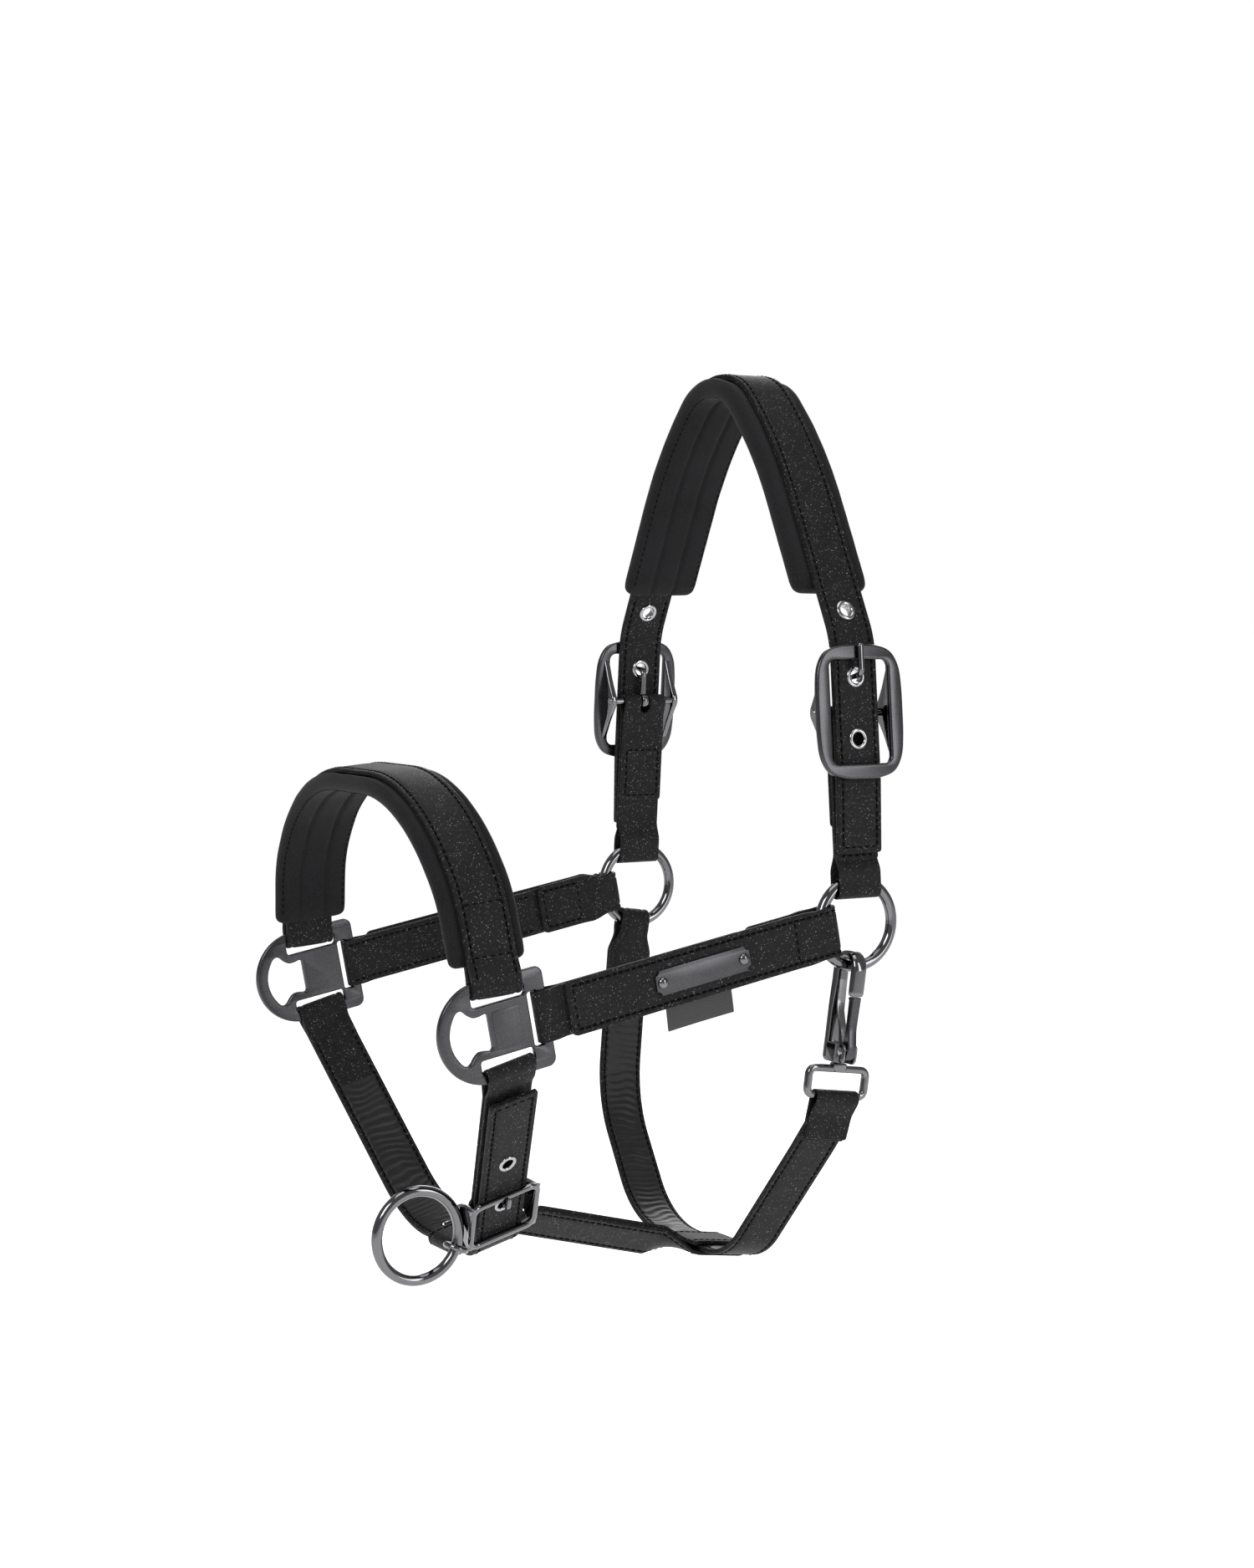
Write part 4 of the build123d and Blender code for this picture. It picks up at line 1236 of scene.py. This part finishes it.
# Chin eyelets in the lighter gunmetal: polish with a painted highlight.
lathe_piece(
    "chin_eyelets", [eyelet(p, 2.7, 4.7, STRAP / 2 - 0.3) for p in chin_eyelet_planes], POLISHED_WITH_PAINTED_HIGHLIGHT, "lower",
    ("chin_eyelets",), sharp=60,
)


def gathered(name, path, low, high, width, v, out, seed, body):
    """Gathered lining on the inner face of a strap: uneven cross folds between two seams."""
    verts = []
    across = 18
    rows = int((high - low) / 0.75)
    for i in range(rows + 1):
        s = low + (high - low) * i / rows
        fade = min(1.0, (s - low) / 6, (high - s) / 6)
        for j in range(across + 1):
            u = -width / 2 + width * j / across
            inside = max(0.0, 1 - abs(u / (width / 2)) ** 4)
            drift = 1.3 * noise.noise(Vector((s * 0.045, u * 0.07, seed)))
            wave = math.sin(2 * math.pi * (s / 4.1 + drift))
            depth = 0.5 + 0.5 * noise.noise(Vector((s * 0.12, u * 0.05, seed + 7)))
            fine = 0.12 * noise.noise(Vector((s * 0.8, u * 0.25, seed + 3)))
            height = (0.4 + (0.52 * wave * depth + fine) * fade) * inside
            verts.append(path.place(s, u, v + out * height))
    for i in range(rows + 1):
        s = low + (high - low) * i / rows
        for j in range(across + 1):
            verts.append(path.place(s, -width / 2 + width * j / across, v - out * 0.25))
    faces = slab_faces(across, rows)
    return new_object(name, mesh_from(name, verts, faces, sharp=80), [LINING], body)


chin_bend = (Vector(bend_at) - Vector(top_at)).length
gathered("chin_lining", chin, chin_bend + 18, chin.length - 75, LINING_WIDTH, -CHIN / 2, -1, 2.0, "lower")
spots = edge_rows(chin, 3, chin.length - 30, STRAP_WIDTH, CHIN / 2 - 0.1)
spots += edge_rows(chin, chin_bend + 6, chin.length - 30, STRAP_WIDTH, -CHIN / 2 + 0.1, 2.2)
for s in (3, chin.length - 34):
    spots += cross_row(chin, s, -ROW, ROW, CHIN / 2 - 0.1)
spots += edge_rows(chape, 4, 30, 24.6, 0.7)
spots += edge_rows(chape, chape.length - 38, chape.length - 4, 24.6, 0.7)
stitch_mesh("chin_stitches", spots, "lower")

# Chin buckle: thin crosspieces, leaf-shaped side arms, bar, tongue, and the lead ring's eye.
chin_mid = Plane(chin_side.origin - chin_side.y * CHIN_BAR_DOWN, chin_side.x, chin_side.z)
bow = Path(
    Plane(chin_mid.origin + chin_mid.x * (CHIN_INNER + 1.5), chin_face.x, chin_face.z),
    [(-17.4, -14), (17.4, -14), (17.4, 14), (-17.4, 14)],
    [4.5] * 4,
    closed=True,
)


def bow_section(s):
    """Round below, flattened above, slim at the sides."""
    spot = bow.point(s)
    top = max(0.0, min(1.0, (spot.y + 6) / 18))
    return blob(2.2 + top, 3.5 - 0.9 * top, 3.2 - 0.4 * top)


new_object(
    "chin_buckle_frame", sweep("chin_buckle_frame", bow, bow_section, 0, bow.length, 0.9, sharp=80),
    [CHROME], "lower", ("chin_buckle_frame",),
)
leaf = smooth_loop(
    [
        (CHIN_INNER + 2.6, 14.4), (CHIN_INNER - 0.2, 12.8), (1.4, 9.4), (-3.6, 5.0),
        (-5.8, 0.2), (-5.0, -4.6), (-1.4, -9.0), (3.8, -12.4), (CHIN_INNER + 1.4, -14.6),
        (CHIN_INNER + 2.9, -13.4), (CHIN_INNER + 2.3, -5), (CHIN_INNER + 2.2, 5),
    ],
    5,
)
for tag, z in (("front", 17.2), ("rear", -17.2)):
    plate(
        f"chin_buckle_arm_{tag}", chin_mid, leaf, [], z - 1.5, z + 1.5, 1.15, "lower",
        face=CHROME, rim=CHROME,
    )
lathe_piece(
    "chin_buckle_bar", [rod(chin_mid, BAR, 18.6, (0, 0))], CHROME, "lower",
    ("chin_buckle_bar",), sharp=30,
)
chin_out = CHIN_INNER + 3.0 + 0.15 + 1.2
tongue(
    "chin_buckle_tongue", chin_mid, 0,
    [(0.2, 2.2), (CHIN_INNER - 4, 6.3), (chin_out, 9.0), (chin_out, 15.5)], [1.4, 1.6], 2.1, 3.5, 1.5,
    "chin_tongue", "chin_buckle_tongue",
)
lead_eye = chin_side.origin + chin_side.x * (CHIN_INNER + 1.5) - chin_side.y * (CHIN_BAR_DOWN + 8.5)
lead_eye = lead_eye + chin_side.z * (20 + LEAD_EYE_MEAN + 0.7)
eye_plane = Plane(lead_eye, (1, 0, 0), (0, lead_s, lead_c))
wire_ring("chin_buckle_eye", eye_plane, LEAD_EYE_MEAN, LEAD_EYE_WIRE, "lower", ())
lead_plane = Plane(lead_eye + Vector((0, -lead_c, lead_s)) * LEAD_RING_MEAN, (0, 1, 0), (1, 0, 0))
wire_ring("lead_ring", lead_plane, LEAD_RING_MEAN, LEAD_RING_WIRE, "lead", ("lead_ring",))

# ------------------------------------------------------------------ throat
throat_drop = RING_MEAN - math.sqrt(RING_MEAN**2 - 7.5**2) + 0.8
far_top = -RING_MEAN + throat_drop + 4.1
throat = Path(
    throat_plane,
    [
        (103.2, -96), (92, -112), (44, -THROAT_DEPTH), (-45, -THROAT_DEPTH), (-98, -118),
        (-SIDE_X - 1.0, -34), (-SIDE_X - 4.1, -25), (-SIDE_X - 4.1, far_top),
        (-SIDE_X + 4.1, far_top), (-SIDE_X + 4.1, -25),
        (-SIDE_X + 1.6, -36), (-SIDE_X + 3.2, -58),
    ],
    [20, 32, 60, 70, 14, 6, 4.0, 4.0, 6, 10],
    out=-1,
)


def throat_width(s):
    """The throat strap is narrower where it goes round the far ring."""
    y = throat.point(s).y if s > throat.length / 2 else -99.0
    part = min(1.0, max(0.0, (-26 - y) / 12))
    return 16.5 + 8.5 * part * part * (3 - 2 * part)


strap_piece(
    "throat_strap", throat, 0, throat.length, throat_width, THROAT, GLITTER, "lower", ("throat_strap",),
    corner=1.6, notch=0.15,
)
eye_low = -85.2
hitch = Path(
    throat_plane,
    [(101.8, -106), (104.2, -94), (SIDE_X + 3.3, eye_low - 1.5), (SIDE_X + 3.3, eye_low + 3.3),
     (SIDE_X - 3.3, eye_low + 3.3), (SIDE_X - 3.3, eye_low - 1.5), (101.0, -95), (99.6, -107)],
    [10, 4, 3.2, 3.2, 4, 10],
    out=1,
)
strap_piece(
    "throat_eye_loop", hitch, 0, hitch.length, 24.4, 1.3, GLITTER, "lower", corner=1.2, notch=0.05, depth=0.0
)
total = throat.length
gathered("throat_lining", throat, 30, total - 92, LINING_WIDTH, -THROAT / 2, -1, 11.0, "lower")
spots = edge_rows(throat, 3, total - 84, STRAP_WIDTH, THROAT / 2 - 0.1)
spots += edge_rows(throat, 6, total - 84, STRAP_WIDTH, -THROAT / 2 + 0.1, 2.2)
for s in (3, total - 80):
    spots += cross_row(throat, s, -ROW, ROW, THROAT / 2 - 0.1)
spots += cross_row(throat, total - 4, -8, 8, THROAT / 2 - 0.1)
stitch_mesh("throat_stitches", spots, "lower")

# ------------------------------------------------------------------ jaw strap
jaw_plane = Plane((10, 0, 0), (0, 1, 0), (1, 0, 0))
chin_low = chin_plane.origin - chin_plane.y * CHIN_DEPTH
throat_low = throat_plane.origin - throat_plane.y * THROAT_DEPTH
chin_across = Vector((0, chin_c, chin_s))
throat_across = Vector((0, throat_c, -throat_s))


def beside(centre, across, along, up):
    """Place near a strap's section, in the jaw strap's plane."""
    lift = Vector((0, -across.z, across.y))
    spot = centre + across * along + lift * up
    return (spot.y, spot.z)


jaw_points = [
    beside(chin_low, chin_across, -14.6, -2.9), beside(chin_low, chin_across, -14.6, 2.9),
    beside(chin_low, chin_across, 12.0, 2.9), beside(chin_low, chin_across, 24, 1.1),
    beside(throat_low, throat_across, -24, 1.1), beside(throat_low, throat_across, -12.0, 2.9),
    beside(throat_low, throat_across, 14.6, 2.9), beside(throat_low, throat_across, 14.6, -2.9),
    beside(throat_low, throat_across, -12.0, -2.9), beside(throat_low, throat_across, -24, -1.0),
    beside(chin_low, chin_across, 24, -1.0), beside(chin_low, chin_across, 12.0, -2.9),
]
jaw = Path(jaw_plane, jaw_points, [2.6, 2.6, 10, 12, 12, 10, 2.6, 2.6, 10, 12, 12, 10], out=-1, closed=True)
jaw_strap = strap_piece(
    "jaw_strap", jaw, 0, jaw.length, STRAP_WIDTH, 1.9, GLITTER, "lower", ("jaw_strap",), notch=0.1, step=1.4
)
spots = edge_rows(jaw, 6, jaw.length / 2 - 6, STRAP_WIDTH, 0.9)
spots += edge_rows(jaw, jaw.length / 2 + 6, jaw.length - 6, STRAP_WIDTH, 0.9)
jaw_stitches = stitch_mesh("jaw_stitches", spots, "lower")
axis_from = chin_low + Vector((10, 18, 4))
axis_to = throat_low + Vector((10, -16, 2))
for piece in (jaw_strap, jaw_stitches):
    run = axis_to - axis_from
    for vert in piece.data.vertices:
        rel = vert.co / MM - axis_from
        t = rel.dot(run) / run.length_squared
        if 0 < t < 1:
            angle = math.radians(-38) * min(1.0, t / 0.16, (1 - t) / 0.16)
            foot = axis_from + run * t
            vert.co = (foot + Matrix.Rotation(angle, 3, run.normalized()) @ (vert.co / MM - foot)) * MM

# ------------------------------------------------------------------ snap hook
hook = Path(
    snap_side,
    [(-7.3, -45), (-7.3, -28), (-7.3, 5.8), (7.3, 5.8), (7.3, -14)],
    [0, 7.25, 7.25],
)


def hook_section(s):
    """Flat spine, round bowl and a blunt nose."""
    spot = hook.point(s)
    climb = max(0.0, min(1.0, (spot.y + 22) / 14)) if spot.x < 0 else 1.0
    thick = 3.4 + 1.3 * climb
    width = 8.6 - 0.6 * climb
    away = hook.length - s
    tip = 1.0 if away > 2.0 else 0.72 + 0.28 * math.sqrt(max(0.0, 1 - ((2.0 - away) / 2.0) ** 2))
    return blob(4.2 - 1.6 * climb, width * tip, thick * tip, 32)


new_object(
    "snap_body", sweep("snap_body", hook, hook_section, 0, hook.length, 0.8, sharp=60), [CHROME], "snap",
    ("snap_body",),
)
base_block = rounded([(-9.4, -37.2), (-9.4, -47), (1.4, -47), (1.4, -37.2)], [1.5, 3, 0.4, 0.4])
plate("snap_base", snap_side, base_block, [], -4, 4, 1.0, "snap", face=CHROME, rim=CHROME)
fork = rounded([(0.8, -37.2), (0.8, -47), (8.9, -47), (8.9, -37.2)], [0.4, 0.4, 3, 2.6])
for tag, low, high in (("front", 2.72, 4.0), ("rear", -4.0, -2.72)):
    plate(
        f"snap_fork_{tag}", snap_side, fork, [], low, high, 0.4, "snap",
        face=CHROME, rim=CHROME,
    )
swivel = Plane(snap_side.origin - snap_side.y * 46, (1, 0, 0), snap_side.y * -1)
lathe_piece("snap_stem", [rod(swivel, 2.35, 4.5, (0, 0))], CHROME, "snap", sharp=30)
gate_line = smooth_loop(
    [
        (5.2, -16), (5.25, -14.4), (7.2, -14.3), (9.0, -14.4), (9.1, -16), (8.7, -24), (8.6, -30),
        (9.3, -34.5), (10.0, -38.5), (9.6, -42.6), (7.6, -44.8), (4.8, -44.6), (2.9, -42.6),
        (2.9, -39.6), (4.6, -36), (5.2, -28),
    ],
    5,
)
plate(
    "snap_gate", snap_side, gate_line, [], -2.45, 2.45, 0.7, "gate", ("snap_gate",),
    face=GUNMETAL, rim=POLISHED_WITH_PAINTED_HIGHLIGHT,
)
pin_head = [(0.01, -4.55), (1.2, -4.5), (1.8, -4.15), (1.8, -3.9), (1.2, -3.9)]
pin_head += [(r, -h) for r, h in reversed(pin_head)]
lathe_piece(
    "snap_gate_pin", [lathe(snap_side, pin_head, 28, (5.6, -41.0))], POLISHED_WITH_PAINTED_HIGHLIGHT, "snap",
    ("snap_gate_pin",), sharp=50,
)
leaf_line = Path(snap_side, [(-4.9, -7), (-4.5, -20), (-0.4, -30), (1.0, -37.5)], [16, 9])
new_object(
    "snap_gate_spring",
    sweep("snap_gate_spring", leaf_line, lambda s: blob(5, 4.4, 0.7, 20), 0, leaf_line.length, 0.8, sharp=50),
    [STEEL], "snap", ("snap_gate_spring",),
)
eye_mid = -50.0 - 8.5 + 1.9
eye_face = Plane(snap_side.origin + snap_side.y * eye_mid, snap_side.z * -1, (1, 0, 0))
eye_bow = Path(eye_face, [(-16.6, -6.6), (16.6, -6.6), (16.6, 6.6), (-16.6, 6.6)], [3.4] * 4, closed=True)
new_object(
    "snap_eye", sweep("snap_eye", eye_bow, lambda s: blob(2.7, 3.8, 3.8), 0, eye_bow.length, 0.8, sharp=80),
    [CHROME], "lower", ("snap_eye",),
)
boss_plane = Plane(snap_side.origin - snap_side.y * 47.15, (1, 0, 0), snap_side.y * -1)
boss = [(2.46, 0), (3.7, 0), (4.2, 0.5), (4.2, 3.0), (3.4, 4.4), (0.01, 4.6), (0.01, 3.7), (2.46, 3.7)]
lathe_piece("snap_eye_boss", [lathe(boss_plane, boss, 32)], CHROME, "lower", sharp=40)

# ------------------------------------------------------------------ floor, light, camera
floor_mesh = bpy.data.meshes.new("floor")
floor_mesh.from_pydata([(-40, -40, 0), (40, -40, 0), (40, 40, 0), (-40, 40, 0)], [], [(0, 1, 2, 3)])
floor = bpy.data.objects.new("floor", floor_mesh)
floor.location = (0, 0, -0.62)
to_scene(floor)
pale, _, pale_shader, _ = node_material("pale_floor")
pale_shader.inputs["Base Color"].default_value = (0.93, 0.93, 0.93, 1)
pale_shader.inputs["Roughness"].default_value = 0.9
pale_shader.inputs["Emission Color"].default_value = (1, 1, 1, 1)
pale_shader.inputs["Emission Strength"].default_value = 0.6
floor_mesh.materials.append(pale)


def softbox(name, place, target, size, power):
    """A rectangular soft light aimed at a point."""
    light = bpy.data.lights.new(name, "AREA")
    light.shape = "RECTANGLE"
    light.size, light.size_y = size
    light.energy = power
    obj = bpy.data.objects.new(name, light)
    obj.location = place
    aim = Vector(target) - Vector(place)
    obj.rotation_euler = aim.to_track_quat("-Z", "Y").to_euler()
    to_scene(obj)


middle = (0, -0.08, -0.22)
softbox("key", (1.0, -1.5, 0.9), middle, (0.9, 0.9), 22)
softbox("side", (1.5, 0.7, 0.2), middle, (0.4, 1.2), 9)
softbox("top", (0.1, -0.1, 1.5), middle, (1.4, 1.4), 16)
softbox("back", (-1.3, 0.9, 0.5), middle, (0.9, 0.9), 10)

world = bpy.data.worlds.new("studio")
bpy.context.scene.world = world
world.use_nodes = True
nodes, links = world.node_tree.nodes, world.node_tree.links
turn, dip = math.radians(60), math.radians(3.75)
forward = Vector((-math.sin(turn) * math.cos(dip), math.cos(turn) * math.cos(dip), -math.sin(dip)))
sky = nodes.new("ShaderNodeTexCoord")
facing = nodes.new("ShaderNodeVectorMath")
facing.operation = "DOT_PRODUCT"
facing.inputs[1].default_value = forward
links.new(sky.outputs["Generated"], facing.inputs[0])
glow = ramp(world.node_tree, facing.outputs["Value"], [(0.45, 0.36), (0.88, 1.0)])
rays = nodes.new("ShaderNodeLightPath")
glow = mix(world.node_tree, rays.outputs["Is Camera Ray"], glow, (1, 1, 1))
links.new(glow, nodes["Background"].inputs[0])
nodes["Background"].inputs[1].default_value = 1.0
bpy.context.scene.view_settings.view_transform = "Standard"

camera_data = bpy.data.cameras.new("camera")
camera_data.lens = 60.4
camera_data.sensor_width = 36
camera = bpy.data.objects.new("camera", camera_data)
right = Vector((math.cos(turn), math.sin(turn), 0))
above = right.cross(forward)
camera.matrix_world = Matrix.Translation((1.1471, -0.7292, -0.1085)) @ Matrix(
    (right, above, -forward)
).transposed().to_4x4()
to_scene(camera)
bpy.context.scene.camera = camera
